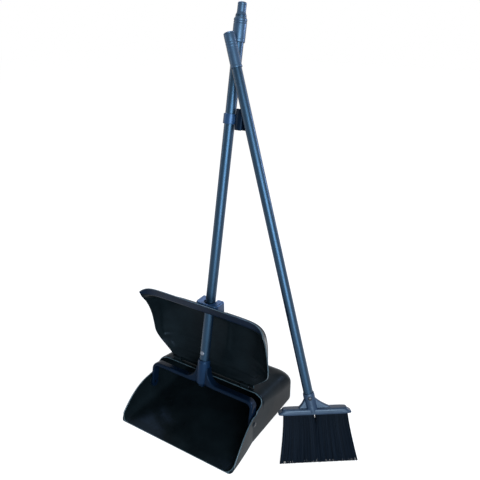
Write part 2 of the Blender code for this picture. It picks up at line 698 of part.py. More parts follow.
def guide_limits(reach):
    """How far the handle's axis strays to the front and rear of its resting line.

    Measured in the lid's frame, at one distance along the resting handle, over the whole travel.
    """
    level = PIVOT + ALONG * reach
    places = []
    for turn in np.linspace(0.0, HANDLE_TRAVEL, 60):
        undo = Matrix.Rotation(-LID_RATIO * turn, 3, "X")
        pivot = HINGE + undo @ (PIVOT - HINGE)
        along = undo @ (Matrix.Rotation(turn, 3, "X") @ ALONG)
        offset = level - pivot
        climb = offset.dot(ALONG) / along.dot(ALONG)
        places.append((along * climb - offset).dot(BEHIND))
    return min(places), max(places)


def guide_cutter(parent):
    """Everything that the handle sweeps through the lid, as a slab with straight sides."""
    middle = handle_crossing()
    room = TUBE_RADIUS + GUIDE_END_PLAY
    front = []
    rear = []
    for reach in np.linspace(middle - 0.060, middle + 0.050, 12):
        low, high = guide_limits(reach)
        level = PIVOT + ALONG * reach - HINGE
        ahead = level + BEHIND * (low - room)
        behind = level + BEHIND * (high + room)
        front.append((ahead.y, ahead.z))
        rear.append((behind.y, behind.z))
    outline = front + list(reversed(rear))
    return tool("guide_sweep", side_prism(outline, TUBE_RADIUS + GUIDE_PLAY), parent)


def make_lid(parent):
    """Lid frame: the hinge axis is its origin."""
    lid = solid("lid", lid_sheet(), "black_plastic", parent)
    shell = lid.modifiers.new("wall", "SOLIDIFY")
    shell.thickness = LID_WALL
    shell.offset = 0.0
    shell.use_even_offset = True
    sweep = guide_cutter(parent)
    cut(lid, sweep)
    for side, word in ((1, "right"), (-1, "left")):
        middle = side * KNUCKLE_OFFSET
        low = middle - KNUCKLE_WIDTH / 2.0
        high = middle + KNUCKLE_WIDTH / 2.0
        barrel = tool("lid_knuckle_" + word, rod(KNUCKLE_RADIUS, low, high, 24), parent,
                      Matrix.Rotation(math.pi / 2.0, 4, "Y"))
        reach = math.hypot(*LID_MIDDLE[0]) + 0.002
        angle = math.atan2(LID_MIDDLE[0][1], LID_MIDDLE[0][0])
        web = box((low, 0.0, -0.0018), (high, reach, 0.0018))
        web_tool = tool("lid_web_" + word, web, parent, Matrix.Rotation(angle, 4, "X"))
        add(lid, barrel, web_tool)
    cut(lid, tool("knuckle_bores", rod(HINGE_PIN_RADIUS + PIN_FIT, -0.2, 0.2, 16), parent,
                  Matrix.Rotation(math.pi / 2.0, 4, "Y")))
    make_guide(parent, sweep)
    return lid


def make_guide(parent, sweep):
    """Horseshoe guide standing on the lid's top wall, open to the rear for the handle's travel."""
    front, slope = top_wall()
    normal = Vector((0.0, -slope.z, slope.y))
    crossing = PIVOT + ALONG * handle_crossing() - HINGE
    low, _ = guide_limits(handle_crossing() + GUIDE_RISE)
    ahead = low - TUBE_RADIUS - GUIDE_END_PLAY - GUIDE_WEB
    base = crossing + normal * (LID_WALL / 2.0 + GAP)
    top = crossing.z + GUIDE_RISE
    bm = bmesh.new()
    corners = []
    for back in (ahead, GUIDE_REAR):
        foot = base + slope * (back / slope.y)
        corners.append([(foot.y, foot.z, GUIDE_HALF + GUIDE_FLARE), (foot.y, top, GUIDE_HALF)])
    verts = {}
    for i, pair in enumerate(corners):
        for j, (y, z, half) in enumerate(pair):
            for k in (-1, 1):
                verts[i, j, k] = bm.verts.new((k * half, y, z))
    for quad in (((0, 0), (0, 1), (1, 1), (1, 0)),):
        bm.faces.new([verts[i, j, 1] for i, j in quad])
        bm.faces.new([verts[i, j, -1] for i, j in reversed(quad)])
    for (a, b) in (((0, 0), (1, 0)), ((1, 0), (1, 1)), ((1, 1), (0, 1)), ((0, 1), (0, 0))):
        bm.faces.new((verts[(*a, -1)], verts[(*b, -1)], verts[(*b, 1)], verts[(*a, 1)]))
    bmesh.ops.recalc_face_normals(bm, faces=bm.faces)
    upper = [edge for edge in bm.edges
             if any(vert.co.z >= top - 1e-6 for vert in edge.verts)]
    bmesh.ops.bevel(bm, geom=upper, offset=GUIDE_EDGE, segments=3, profile=0.5, affect="EDGES")
    guide = solid("lid_guide", bm, "black_plastic", parent)
    cut(guide, sweep)


def lid_pin(name, side, parent):
    """Pin through two ears and the knuckle between them, with its head on the outer ear."""
    middle = KNUCKLE_OFFSET
    inner = middle - KNUCKLE_WIDTH / 2.0 - GAP - EAR_WIDTH
    outer = middle + KNUCKLE_WIDTH / 2.0 + GAP + EAR_WIDTH + GAP
    profile = [(0.0, inner), (HINGE_PIN_RADIUS, inner), (HINGE_PIN_RADIUS, outer),
               (HINGE_PIN_HEAD, outer), (HINGE_PIN_HEAD * 0.8, outer + HINGE_PIN_CAP),
               (0.0, outer + HINGE_PIN_CAP)]
    solid(name, turned(profile, 16), "bright_steel", parent, pin_place(HINGE, side))


# ---- brush ------------------------------------------------------------------------------------
def brush_axis(lean):
    """Foot frame and the brush handle's line for a backward lean of the head."""
    foot = Vector((BRUSH_FOOT_X, LIP_Y + BRUSH_FOOT_BACK, 0.0))
    frame = (Matrix.Translation(foot) @ Matrix.Rotation(BRUSH_YAW, 4, "Z")
             @ Matrix.Rotation(-lean, 4, "X"))
    top = BRISTLE_LENGTH + BLOCK_HEIGHT
    axis = (frame @ Matrix.Translation((BROOM_SOCKET_OFFSET, 0.0, top))
            @ Matrix.Rotation(-SOCKET_TILT, 4, "Y"))
    return frame, axis


def handle_gap(lean):
    """Smallest gap between the brush's handle and the pan's handle, grip or clip."""
    _, axis = brush_axis(lean)
    along = np.array(axis.to_3x3() @ Vector((0.0, 0.0, 1.0)))
    heights = np.linspace(BROOM_TUBE_TOP / 2.0, BROOM_TUBE_TOP + BROOM_CAP, 500)
    from_pivot = np.array(axis.translation - PIVOT) + heights[:, None] * along
    climb = from_pivot @ np.array(ALONG)
    side = from_pivot[:, 0]
    behind = from_pivot @ np.array(BEHIND)
    flange_top = BROOM_GRIP_BOTTOM + BROOM_FLANGE_HEIGHT
    brush = np.where(heights < BROOM_GRIP_BOTTOM, BROOM_TUBE_RADIUS, BROOM_GRIP_RADIUS)
    on_flange = (heights >= BROOM_GRIP_BOTTOM) & (heights <= flange_top)
    brush = np.where(on_flange, BROOM_GRIP_FLANGE, brush)
    pan = np.where(climb < GRIP_BOTTOM, TUBE_RADIUS, GRIP_RADIUS)
    pan = np.where((climb > COLLAR_BOTTOM) & (climb < COLLAR_TOP), COLLAR_RADIUS, pan)
    gap = np.hypot(side, behind) - brush - pan
    at_clip = (climb > CLIP_BOTTOM) & (climb < CLIP_TOP)
    clip_gap = np.hypot(side - CLIP_X, behind) - brush - CLIP_RADIUS
    return float(min(gap.min(), np.where(at_clip, clip_gap, 1.0).min()))


def resting_lean():
    """Backward lean at which the brush first rests on the pan's handle."""
    lean = 0.0
    step = math.radians(2.0)
    for _ in range(16):
        while handle_gap(lean + step) > GAP and lean < math.radians(60.0):
            lean += step
        step /= 2.0
    return lean


def block_ring(half_long, half_thick, height):
    """Plan outline of the block with rounded ends."""
    radius = min(BLOCK_END_RADIUS, half_thick)
    ring = []
    for start, sx, sy in ((0, 1, 1), (90, -1, 1), (180, -1, -1), (270, 1, -1)):
        centre = (sx * (half_long - radius), sy * (half_thick - radius))
        ring += [(HEAD_SHIFT + x, y, height) for x, y in arc(centre, radius, start, start + 90, 4)]
    return ring


def block_form():
    half = BLOCK_THICK / 2.0
    root = BRISTLE_LENGTH
    top = BRISTLE_LENGTH + BLOCK_HEIGHT
    return stacked([block_ring(BLOCK_HALF, half, root),
                    block_ring(BLOCK_HALF, half, root + 0.0035),
                    block_ring(BLOCK_HALF - BLOCK_SLANT, half, top - BLOCK_CHAMFER),
                    block_ring(BLOCK_HALF - BLOCK_SLANT - BLOCK_CHAMFER / 2.0,
                               half - BLOCK_CHAMFER, top)])


def upright_prism(outline, half):
    """Outline in (x, z) carried along Y from -half to +half."""
    bm = prism(outline, -half, half)
    bmesh.ops.transform(bm, matrix=Matrix.Rotation(math.pi / 2.0, 4, "X"), verts=bm.verts)
    return bm


def make_head(frame, handle_axis):
    head = solid("brush_block", block_form(), "broom_plastic", frame)
    socket = rod(BROOM_SOCKET_RADIUS, -0.008, BROOM_SOCKET_RISE)
    add(head, tool("broom_socket", socket, handle_axis))
    top = BRISTLE_LENGTH + BLOCK_HEIGHT
    shift = -math.sin(SOCKET_TILT) * BROOM_SOCKET_RISE
    rise = math.cos(SOCKET_TILT) * BROOM_SOCKET_RISE - 0.004
    for reach, word in ((GUSSET_LONG, "long"), (-GUSSET_SHORT, "short")):
        base = BROOM_SOCKET_OFFSET + math.copysign(BROOM_SOCKET_RADIUS, reach)
        foot = base + reach
        crown = BROOM_SOCKET_OFFSET + shift + math.copysign(BROOM_SOCKET_RADIUS - 0.003, reach)
        height = rise if reach > 0 else rise * 0.8
        outline = [(BROOM_SOCKET_OFFSET, top - 0.004), (foot, top - 0.004), (foot, top),
                   (crown, top + height), (BROOM_SOCKET_OFFSET + shift * 0.7, top + height)]
        add(head, tool("gusset_" + word, upright_prism(outline, GUSSET_HALF), frame))
    seat = rod(BROOM_TUBE_RADIUS + GAP, BROOM_SOCKET_FLOOR - GAP, BROOM_SOCKET_RISE + 0.02)
    cut(head, tool("broom_seat", seat, handle_axis))
    cut(head, tool("screw_path", rod(SCREW_RADIUS + GAP, 0.0, 0.03, 16), handle_axis,
                   rivet_place(SCREW_HEIGHT)))
    return head


def bunch(side, lean):
    """One bunch of bristles: a flared block cut off level with the floor."""
    bm = bmesh.new()
    root = BRISTLE_LENGTH - GAP
    slope = math.tan(lean)
    rows = []
    for part in np.linspace(0.0, 1.0, 6):
        flare = 1.0 - part
        outer = BRISTLE_ROOT_HALF + (BRISTLE_FOOT_HALF - BRISTLE_ROOT_HALF) * flare ** 1.3
        inner = GAP / 2.0 + (BRISTLE_SPLIT / 2.0) * max(0.0, 1.0 - flare / 0.35) ** 1.5
        thick = (BRISTLE_ROOT_THICK + (BRISTLE_FOOT_THICK - BRISTLE_ROOT_THICK) * flare) / 2.0
        back = outer - BRISTLE_END_SLANT
        corners = [(inner, -thick), (outer - 0.001, -thick), (outer, -thick + 0.001),
                   (back, thick - 0.003), (back - 0.003, thick), (inner, thick)]
        row = []
        for x, y in corners:
            foot = y * slope
            across = side * x + HEAD_SHIFT * part
            row.append(bm.verts.new((across, y, foot + (root - foot) * part)))
        rows.append(row)
    for low, high in zip(rows, rows[1:]):
        for i in range(len(low)):
            j = (i + 1) % len(low)
            bm.faces.new((low[i], low[j], high[j], high[i]))
    bm.faces.new(rows[0])
    bm.faces.new(rows[-1])
    return bm


def make_brush_handle(axis):
    tube = pipe(BROOM_TUBE_RADIUS, BROOM_TUBE_RADIUS - TUBE_WALL, BROOM_SOCKET_FLOOR,
                BROOM_TUBE_TOP)
    handle = solid("brush_handle_tube", tube, "handle_paint", axis)
    cut(handle, tool("screw_hole", rod(SCREW_RADIUS + GAP, 0.0, 0.03, 16), axis,
                     rivet_place(SCREW_HEIGHT)))
    bore = BROOM_TUBE_RADIUS + GAP
    ring = BROOM_GRIP_RADIUS - 0.0005
    profile = [(bore, BROOM_GRIP_BOTTOM), (BROOM_GRIP_FLANGE, BROOM_GRIP_BOTTOM),
               (BROOM_GRIP_FLANGE, BROOM_GRIP_BOTTOM + BROOM_FLANGE_HEIGHT),
               (BROOM_GRIP_RADIUS, BROOM_GRIP_BOTTOM + BROOM_FLANGE_HEIGHT + 0.0008)]
    for step in range(3):
        base = BROOM_TUBE_TOP - 0.0260 + step * 0.0050
        profile += [(BROOM_GRIP_RADIUS, base), (ring, base + 0.0005), (ring, base + 0.0015),
                    (BROOM_GRIP_RADIUS, base + 0.0020)]
    profile += [(BROOM_GRIP_RADIUS, BROOM_TUBE_TOP), (bore, BROOM_TUBE_TOP)]
    solid("brush_grip", turned(profile, 36), "grip_plastic", axis)
    plug = BROOM_TUBE_RADIUS - TUBE_WALL - GAP
    seat = BROOM_TUBE_TOP + GAP
    profile = [(0.0, seat - BROOM_CAP_PLUG), (plug, seat - BROOM_CAP_PLUG), (plug, seat),
               (BROOM_GRIP_RADIUS, seat), (BROOM_GRIP_RADIUS, seat + BROOM_CAP * 0.5),
               (BROOM_GRIP_RADIUS * 0.8, seat + BROOM_CAP * 0.9), (0.0, seat + BROOM_CAP)]
    solid("brush_end_cap", turned(profile, 32), "grip_plastic", axis)
    face = BROOM_SOCKET_RADIUS + GAP
    shank = BROOM_TUBE_RADIUS - TUBE_WALL - 0.003
    profile = [(0.0, shank), (SCREW_RADIUS, shank), (SCREW_RADIUS, face),
               (SCREW_RADIUS * 1.5, face), (SCREW_RADIUS * 1.3, face + 0.0010), (0.0, face + 0.0014)]
    solid("brush_screw", turned(profile, 20), "bright_steel", axis, rivet_place(SCREW_HEIGHT))


def make_brush():
    lean = resting_lean()
    frame_place, axis_place = brush_axis(lean)
    frame = empty("brush_foot", frame_place)
    axis = empty("brush_handle_axis", axis_place)
    make_head(frame, axis)
    solid("bristles_right", bunch(1, lean), "bristle_nylon", frame)
    solid("bristles_left", bunch(-1, lean), "bristle_nylon", frame)
    make_brush_handle(axis)


def main():
    clear_scene()
    make_pan()
    handle_axis = empty("handle_axis", Matrix.Translation(PIVOT) @ Matrix.Rotation(-HANDLE_LEAN, 4, "X"))
    make_yoke(handle_axis)
    pan_pin("pivot_pin_right", 1, handle_axis)
    pan_pin("pivot_pin_left", -1, handle_axis)
    make_handle(handle_axis)
    make_grip(handle_axis)
    make_clip(handle_axis)
    lid_axis = empty("lid_axis", Matrix.Translation(HINGE))
    make_lid(lid_axis)
    lid_pin("lid_pin_right", 1, None)
    lid_pin("lid_pin_left", -1, None)
    make_brush()
    bpy.context.view_layer.update()


main()
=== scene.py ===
"""Fine surfaces, finishes, stage and camera for a lobby dust pan with a lid and an upright brush.

Metres, +Z up. The origin is the middle of the pan's flat underside and the mouth faces -Y. Each
surface is a function of two parameters on a numpy grid, or a profile carried along a path.
"""
import json
import math

import bmesh
import bpy
import numpy as np
from bpy.props import FloatProperty, FloatVectorProperty, IntProperty, PointerProperty
from mathutils import Matrix, Vector


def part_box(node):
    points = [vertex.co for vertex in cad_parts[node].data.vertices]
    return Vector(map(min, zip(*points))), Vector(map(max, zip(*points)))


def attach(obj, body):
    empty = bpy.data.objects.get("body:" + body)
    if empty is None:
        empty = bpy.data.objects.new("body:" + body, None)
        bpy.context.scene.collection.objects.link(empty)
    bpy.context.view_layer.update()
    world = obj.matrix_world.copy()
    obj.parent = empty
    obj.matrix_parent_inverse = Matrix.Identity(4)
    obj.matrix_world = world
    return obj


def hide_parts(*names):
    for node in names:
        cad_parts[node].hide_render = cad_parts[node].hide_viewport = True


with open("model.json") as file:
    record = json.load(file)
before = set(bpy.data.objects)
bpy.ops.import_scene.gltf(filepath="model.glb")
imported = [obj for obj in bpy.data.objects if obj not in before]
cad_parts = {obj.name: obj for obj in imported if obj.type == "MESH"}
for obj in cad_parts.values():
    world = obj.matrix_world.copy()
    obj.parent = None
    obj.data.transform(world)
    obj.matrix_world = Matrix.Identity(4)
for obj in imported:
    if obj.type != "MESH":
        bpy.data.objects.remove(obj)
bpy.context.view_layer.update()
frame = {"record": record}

bl_info = {
    "name": "Lobby dust pan and brush",
    "version": (1, 0, 0),
    "blender": (4, 5, 0),
    "location": "3D View > Sidebar > Dust pan",
    "description": "Builds a lobby dust pan with a lid, and its upright brush",
    "category": "Add Mesh",
}

JOINTS = {joint["name"]: joint for joint in frame["record"]["behaviour"]["joints"]}
PIVOT = Vector(JOINTS["handle_swing"]["pos_m"])
HINGE = Vector(JOINTS["lid_fold"]["pos_m"])
PAN_LOW, PAN_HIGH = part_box("pan_body")
LIP_Y = PAN_LOW[1]
PAN_DEPTH = PAN_HIGH[1] - PAN_LOW[1]
GAP = 0.0003

# ---- pan, as distances back from the lip and heights above the floor ----
WAIST, LIP_SPREAD, REAR_SPREAD, FLARE_DEPTH = 0.1450, 0.0085, 0.0020, 0.097
HOOD_HEIGHT, HOOD_FALL, HOOD_FRONT = 0.1000, 0.13, 0.142
SIDE_TOP, STEP_DEPTH, STEP_RISE, EDGE_SWEEP = 0.0700, 0.113, 0.007, 2.1
SHOULDER_FRONT, SHOULDER_SIDE, SHOULDER_REAR = 0.022, 0.034, 0.038
FLOOR_RADIUS, FILLET_FRONT, FILLET_REAR, CORNER_RADIUS = 0.0075, 0.016, 0.009, 0.022
LIP_CORNER, LIP_RAMP, BOSS_RADIUS, EDGE_REACH = 0.0110, 0.022, 0.0105, 0.0012
PIVOT_BACK = PIVOT.y - LIP_Y

# ---- handle, along its own axis from the pins ----
LEAN = math.radians(12.2)
TUBE_RADIUS, TUBE_WALL, TUBE_TOP = 0.011, 0.0012, 0.8310
ARM_OUTER, ARM_WIDTH, ARM_TAIL = 0.1390, 0.0070, 0.0125
BAR_LOW, BAR_HIGH, BAR_BEND, INNER_BEND = 0.0440, 0.0530, 0.017, 0.011
YOKE_FRONT, YOKE_BACK = 0.008, 0.012
SOCKET_RADIUS, SOCKET_TOP, WING_SPREAD = 0.0142, 0.1040, 0.046
RIVET_HEIGHT = 0.1215
GRIP_BOTTOM, GRIP_TOP, GRIP_RADIUS = 0.7810, 0.8275, 0.0132
STUB_RADIUS, STUB_TOP = 0.0088, 0.8555
COLLAR_BOTTOM, COLLAR_TOP, COLLAR_RADIUS = 0.6240, 0.6445, 0.0138
CLIP_BOTTOM, CLIP_TOP, CLIP_X, CLIP_BORE, CLIP_WALL = 0.6140, 0.6560, 0.0275, 0.0103, 0.0021
CLIP_MOUTH = math.radians(52.0)

# ---- lid, as (back, up) from its axis at eleven stations from the axis to the rim ----
LID_MIDDLE = [(0.0055, 0.0040), (0.0210, 0.0135), (0.0340, 0.0345), (0.0410, 0.0635),
              (0.0450, 0.0915), (0.0450, 0.1175), (0.0385, 0.1370), (0.0260, 0.1505),
              (0.0110, 0.1595), (-0.0280, 0.1750), (-0.0330, 0.1950)]
LID_SIDE = [(0.0055, 0.0040), (0.0060, 0.0180), (0.0030, 0.0370), (-0.0045, 0.0605),
            (-0.0075, 0.0795), (-0.0105, 0.0985), (-0.0145, 0.1160), (-0.0205, 0.1350),
            (-0.0280, 0.1520), (-0.0370, 0.1670), (-0.0430, 0.1820)]
LID_HALF = [0.1130, 0.1310, 0.1480, 0.1545, 0.1550, 0.1550, 0.1550, 0.1560, 0.1575, 0.1595,
            0.1610]
LID_WALL, GUIDE_WEB, GUIDE_CORNER = 0.0024, 0.0052, 0.0100
# The hem hangs from the sheet's lowest row by this much, in three rows.
LID_HEM = (0.0, 0.0018, -0.0087)
SLOT_SHARE, RIM_RISE = 0.12, 0.0015
SLOT_HALF, SLOT_REAR, SLOT_FRONT = 0.0124, 6.02, 8.60
KNUCKLE_OFFSET, KNUCKLE_WIDTH, KNUCKLE_RADIUS, EAR_WIDTH = 0.0940, 0.0140, 0.0045, 0.0030

# ---- brush ----
BRUSH_FOOT = Vector((0.2818, LIP_Y + 0.1381, 0.0))
BRUSH_YAW, BRUSH_LEAN, SOCKET_TILT = math.radians(35.7), 0.2951272, math.radians(11.8)
BRISTLE_LENGTH, FOOT_HALF, ROOT_HALF = 0.1010, 0.0834, 0.0678
ROOT_THICK, FOOT_THICK, SPLIT, END_SLANT = 0.020, 0.026, 0.0050, 0.0070
HEAD_SHIFT, BLOCK_HALF, BLOCK_SLANT = -0.0065, 0.0770, 0.0085
BLOCK_HEIGHT, BLOCK_THICK = 0.0125, 0.0230
SOCKET_OFFSET, BROOM_SOCKET, BROOM_RISE = -0.0133, 0.0120, 0.0330
BROOM_TUBE, BROOM_TOP, BROOM_GRIP_BOTTOM = 0.0100, 0.7700, 0.7060
BROOM_GRIP, BROOM_FLANGE, BROOM_CAP, SCREW_HEIGHT = 0.0112, 0.0118, 0.0045, 0.0240

HANDLE = Matrix.Translation(PIVOT) @ Matrix.Rotation(-LEAN, 4, "X")
LID = Matrix.Translation(HINGE)
FOOT = (Matrix.Translation(BRUSH_FOOT) @ Matrix.Rotation(BRUSH_YAW, 4, "Z")
        @ Matrix.Rotation(-BRUSH_LEAN, 4, "X"))
BROOM = (FOOT @ Matrix.Translation((SOCKET_OFFSET, 0.0, BRISTLE_LENGTH + BLOCK_HEIGHT))
         @ Matrix.Rotation(-SOCKET_TILT, 4, "Y"))
FORWARD = Matrix.Rotation(math.pi / 2.0, 4, "X")
SIDES = ((1, "right"), (-1, "left"))

# ---- finishes ----
# EDGE is a painted highlight: a brighter, shinier black laid along the edges that catch the light.
BLACK, EDGE, FORK = "black moulded plastic", "worn plastic edge", "fork plastic"
# GUIDE and SOCKET are lit copies of the fork plastic: painted highlight and painted sheen.
GUIDE, SOCKET, BROOM_PLASTIC = "guide plastic", "socket plastic", "broom plastic"
PAINT, GRIP = "handle paint", "grip plastic"
STEEL, DARK_STEEL, NYLON = "bright steel", "blackened steel", "bristle nylon"
STEEL_LEVELS = {STEEL: 1.0, DARK_STEEL: 0.16}
# slot, colour, its gain, gain where worn, smooth, dull, specular level, tint, cloud scale,
# grain scale, relief, scratches
MOULDED = {
    BLACK: ("black_plastic", "black", 1.0, 2.2, 0.26, 0.38, 0.055, (0.56, 0.76, 1.0), 14.0, 900.0,
            0.00003, 0.35),
    # Painted highlight for the edges: nine times the black's colour, with a stronger shine.
    EDGE: ("black_plastic", "black", 9.0, 1.9, 0.30, 0.42, 0.40, (0.70, 0.86, 1.0), 60.0, 900.0,
           0.00003, 0.35),
    FORK: ("black_plastic", "fork", 1.0, 1.8, 0.28, 0.38, 0.09, (0.34, 0.60, 1.0), 24.0, 1100.0,
           0.00003, 0.35),
    # Fork plastic lit up: 5.5 times its colour, a painted highlight for the guide and the collar.
    GUIDE: ("black_plastic", "fork", 5.5, 1.8, 0.28, 0.38, 0.50, (0.34, 0.60, 1.0), 24.0, 1100.0,
            0.00003, 0.35),
    # Fork plastic lit up: 2.4 times its colour, a painted sheen for the yoke's socket.
    SOCKET: ("black_plastic", "fork", 2.4, 1.8, 0.28, 0.38, 0.18, (0.34, 0.60, 1.0), 24.0, 1100.0,
             0.00003, 0.35),
    PAINT: ("handle_paint", "paint", 1.0, 1.6, 0.36, 0.43, 0.72, (0.30, 0.62, 1.0), 22.0, 1500.0,
            0.00001, 0.2),
    GRIP: ("grip_plastic", "grip", 1.0, 1.8, 0.38, 0.46, 0.85, (0.38, 0.68, 1.0), 30.0, 1400.0,
           0.00004, 0.35),
    BROOM_PLASTIC: ("broom_plastic", "broom", 1.0, 1.5, 0.34, 0.46, 0.34, (0.66, 0.84, 1.0), 26.0,
                    1100.0, 0.00004, 0.35),
}

# ---- stage; lamps: name, place, aim, width, height, radiance, colour ----
FLOOR_LEVEL, FLOOR_GLOW, ROOM_GLOW = -0.0004, 0.90, 0.45
COOL = (0.80, 0.90, 1.0)
LAMPS = (
    ("key", (1.72, -1.62, 0.96), (0.05, 0.0, 0.42), 1.3, 1.6, 20.0, COOL),
    ("overhead", (0.1, 0.3, 2.3), (0.05, 0.0, 0.1), 0.7, 0.5, 7.0, COOL),
    ("rear left", (-0.95, 1.15, 1.70), (-0.1, 0.0, 0.1), 0.5, 0.6, 13.0, (0.42, 0.60, 1.0)),
    ("rear right", (1.25, 1.35, 0.95), (0.12, 0.05, 0.1), 0.5, 0.5, 22.0, (0.55, 0.68, 1.0)),
    ("left fill", (-1.9, -0.9, 1.0), (0.0, 0.0, 0.2), 0.4, 0.8, 5.0, COOL),
)


# ---- grids ------------------------------------------------------------------------------------
def cells(rows, columns, around=False):
    """Corners of each cell of a rows by columns grid; around closes every row on itself."""
    i, j = np.meshgrid(np.arange(rows - 1), np.arange(columns if around else columns - 1),
                       indexing="ij")
    k = (j + 1) % columns
    here, above = i * columns, (i + 1) * columns
    return np.stack([here + j, here + k, above + k, above + j], axis=-1).reshape(-1, 4)


def skin(loops, capped=True):
    """Skin over a stack of closed loops (n, m, 3). Capped: each end closes on its loop's middle."""
    if capped:
        ends = loops[[0, -1]].mean(axis=1, keepdims=True) + 0.0 * loops[[0, -1]]
        loops = np.concatenate([ends[:1], loops, ends[1:]])
    return loops.reshape(-1, 3), cells(loops.shape[0], loops.shape[1], True)


def sheet(grid):
    """Open surface over a grid of points (n, m, 3)."""
    return grid.reshape(-1, 3), cells(*grid.shape[:2])


def mirrored(right):
    """Right half of a line that ends on the middle, and its mirror image back from there."""
    return np.concatenate([right, (right * (-1.0, 1.0))[-2::-1]])


def joined(*parts):
    """Several (points, faces) as one."""
    starts = np.cumsum([0] + [len(points) for points, _ in parts[:-1]])
    return (np.concatenate([points for points, _ in parts]),
            np.concatenate([faces + start for (_, faces), start in zip(parts, starts)]))


def placed(part, matrix):
    """Points times the matrix, faces unchanged."""
    turn = np.array(matrix)
    return part[0] @ turn[:3, :3].T + turn[:3, 3], part[1]


def eased(profile, radius, steps=4, closed=False):
    """Each corner b between a and c becomes the curve (1-t)^2 p + 2t(1-t) b + t^2 q, where p and q
    lie on the two sides at the radius from b, or at half the side if that is less."""
    points = [np.array(point, dtype=float) for point in profile]
    count = len(points)
    out = []
    for index, corner in enumerate(points):
        if not closed and index in (0, count - 1):
            out.append(corner)
            continue
        before, after = points[index - 1] - corner, points[(index + 1) % count] - corner
        lengths = [np.linalg.norm(before), np.linalg.norm(after)]
        reach = min(radius, 0.45 * lengths[0], 0.45 * lengths[1])
        start, end = corner + before / lengths[0] * reach, corner + after / lengths[1] * reach
        for t in np.linspace(0.0, 1.0, steps + 1):
            out.append((1 - t) ** 2 * start + 2 * t * (1 - t) * corner + t ** 2 * end)
    return np.array(out)


def lathe(profile, steps=64, ring=False):
    """Profile (radius, height) about Z: (r cos a, r sin a, h). A ring's profile is closed."""
    profile = np.array(profile, dtype=float)
    if ring:
        profile = np.concatenate([profile, profile[:1]])
    angle = np.linspace(0.0, 2.0 * math.pi, steps, endpoint=False)
    radius, height = profile[:, 0, None], profile[:, 1, None]
    loops = np.stack([radius * np.cos(angle), radius * np.sin(angle),
                      np.broadcast_to(height, (len(profile), steps))], axis=-1)
    return skin(loops, capped=False)


def squarish(across, deep, power, count=40):
    """Superellipse loop: x = a sgn(cos) |cos|^(2/n), y = b sgn(sin) |sin|^(2/n)."""
    angle = np.linspace(0.0, 2.0 * math.pi, count, endpoint=False) + math.pi / count
    cos, sin = np.cos(angle), np.sin(angle)
    return np.stack([across * np.sign(cos) * np.abs(cos) ** (2.0 / power),
                     deep * np.sign(sin) * np.abs(sin) ** (2.0 / power)], axis=-1)


def plate(outline, levels, axis=2):
    """Flat outline (n, 2) stacked along the axis: one loop for each (place, size) in levels."""
    return skin(np.stack([np.insert(outline * size, axis, place, axis=1)
                          for place, size in levels]))


def turned(profile, rounding, sides=64, ring=False, steps=4):
    """Lathed profile with its corners eased."""
    return lathe(eased(profile, rounding, steps, closed=ring), sides, ring=ring)


def put(name, part, coat, body, nodes=(), sharp=42.0, closed=True):
    """Make a piece from (points, faces), merged, facing out, riding on its body."""
    points, faces = part
    mesh = bpy.data.meshes.new(name)
    mesh.vertices.add(len(points))
    mesh.vertices.foreach_set("co", points.astype(np.float32).ravel())
    mesh.loops.add(faces.size)
    mesh.loops.foreach_set("vertex_index", faces.astype(np.int32).ravel())
    mesh.polygons.add(len(faces))
    mesh.polygons.foreach_set("loop_start", np.arange(0, faces.size, 4, dtype=np.int32))
    mesh.update(calc_edges=True)
    if closed:
        bm = bmesh.new()
        bm.from_mesh(mesh)
        bmesh.ops.remove_doubles(bm, verts=bm.verts, dist=3e-6)
        bmesh.ops.dissolve_degenerate(bm, edges=bm.edges, dist=1e-6)
        bmesh.ops.recalc_face_normals(bm, faces=bm.faces)
        if bm.calc_volume(signed=True) < 0.0:
            bmesh.ops.reverse_faces(bm, faces=bm.faces)
        bm.to_mesh(mesh)
        bm.free()
    mesh.shade_smooth()
    if sharp:
        mesh.set_sharp_from_angle(angle=math.radians(sharp))
    mesh.materials.append(finish(coat))
    piece = bpy.data.objects.new(name, mesh)
    bpy.context.scene.collection.objects.link(piece)
    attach(piece, body)
    if nodes:
        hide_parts(*nodes)
    return piece


def face_centres(piece):
    centres = np.empty(3 * len(piece.data.polygons))
    piece.data.polygons.foreach_get("center", centres)
    return centres.reshape(-1, 3)


def refinish(piece, coat, chosen):
    """Give the chosen faces a second finish."""
    piece.data.materials.append(finish(coat))
    piece.data.polygons.foreach_set("material_index", chosen.astype(np.int32))


def bevel(piece, width, segments=3, angle=35.0):
    """Round the piece's sharp edges by the width."""
    step = piece.modifiers.new("rounded edges", "BEVEL")
    step.width = width
    step.segments = segments
    step.limit_method = "ANGLE"
    step.angle_limit = math.radians(angle)
    step.harden_normals = True
    return step


def step_up(value, low, high):
    """Smooth step: 3t^2 - 2t^3 between low and high."""
    t = np.clip((value - low) / (high - low), 0.0, 1.0)
    return t * t * (3.0 - 2.0 * t)


# ---- finishes ---------------------------------------------------------------------------------
def feed(tree, made, inputs):
    """Set a node's inputs; one given as a socket is linked to it."""
    for key, value in inputs.items():
        if isinstance(value, bpy.types.NodeSocket):
            tree.links.new(value, made.inputs[key])
        else:
            made.inputs[key].default_value = value


def node(tree, kind, inputs=None, **settings):
    """A shader node with its settings and inputs."""
    made = tree.nodes.new(kind)
    for key, value in settings.items():
        setattr(made, key, value)
    feed(tree, made, inputs or {})
    return made


def maths(tree, operation, *values, clamp=False):
    return node(tree, "ShaderNodeMath", dict(enumerate(values)), operation=operation,
                use_clamp=clamp).outputs[0]


def mapped(tree, value, low, high, start=0.0, end=1.0):
    """The value taken from low to high onto start to end."""
    return node(tree, "ShaderNodeMapRange", {"Value": value, "From Min": low, "From Max": high,
                                             "To Min": start, "To Max": end}).outputs[0]


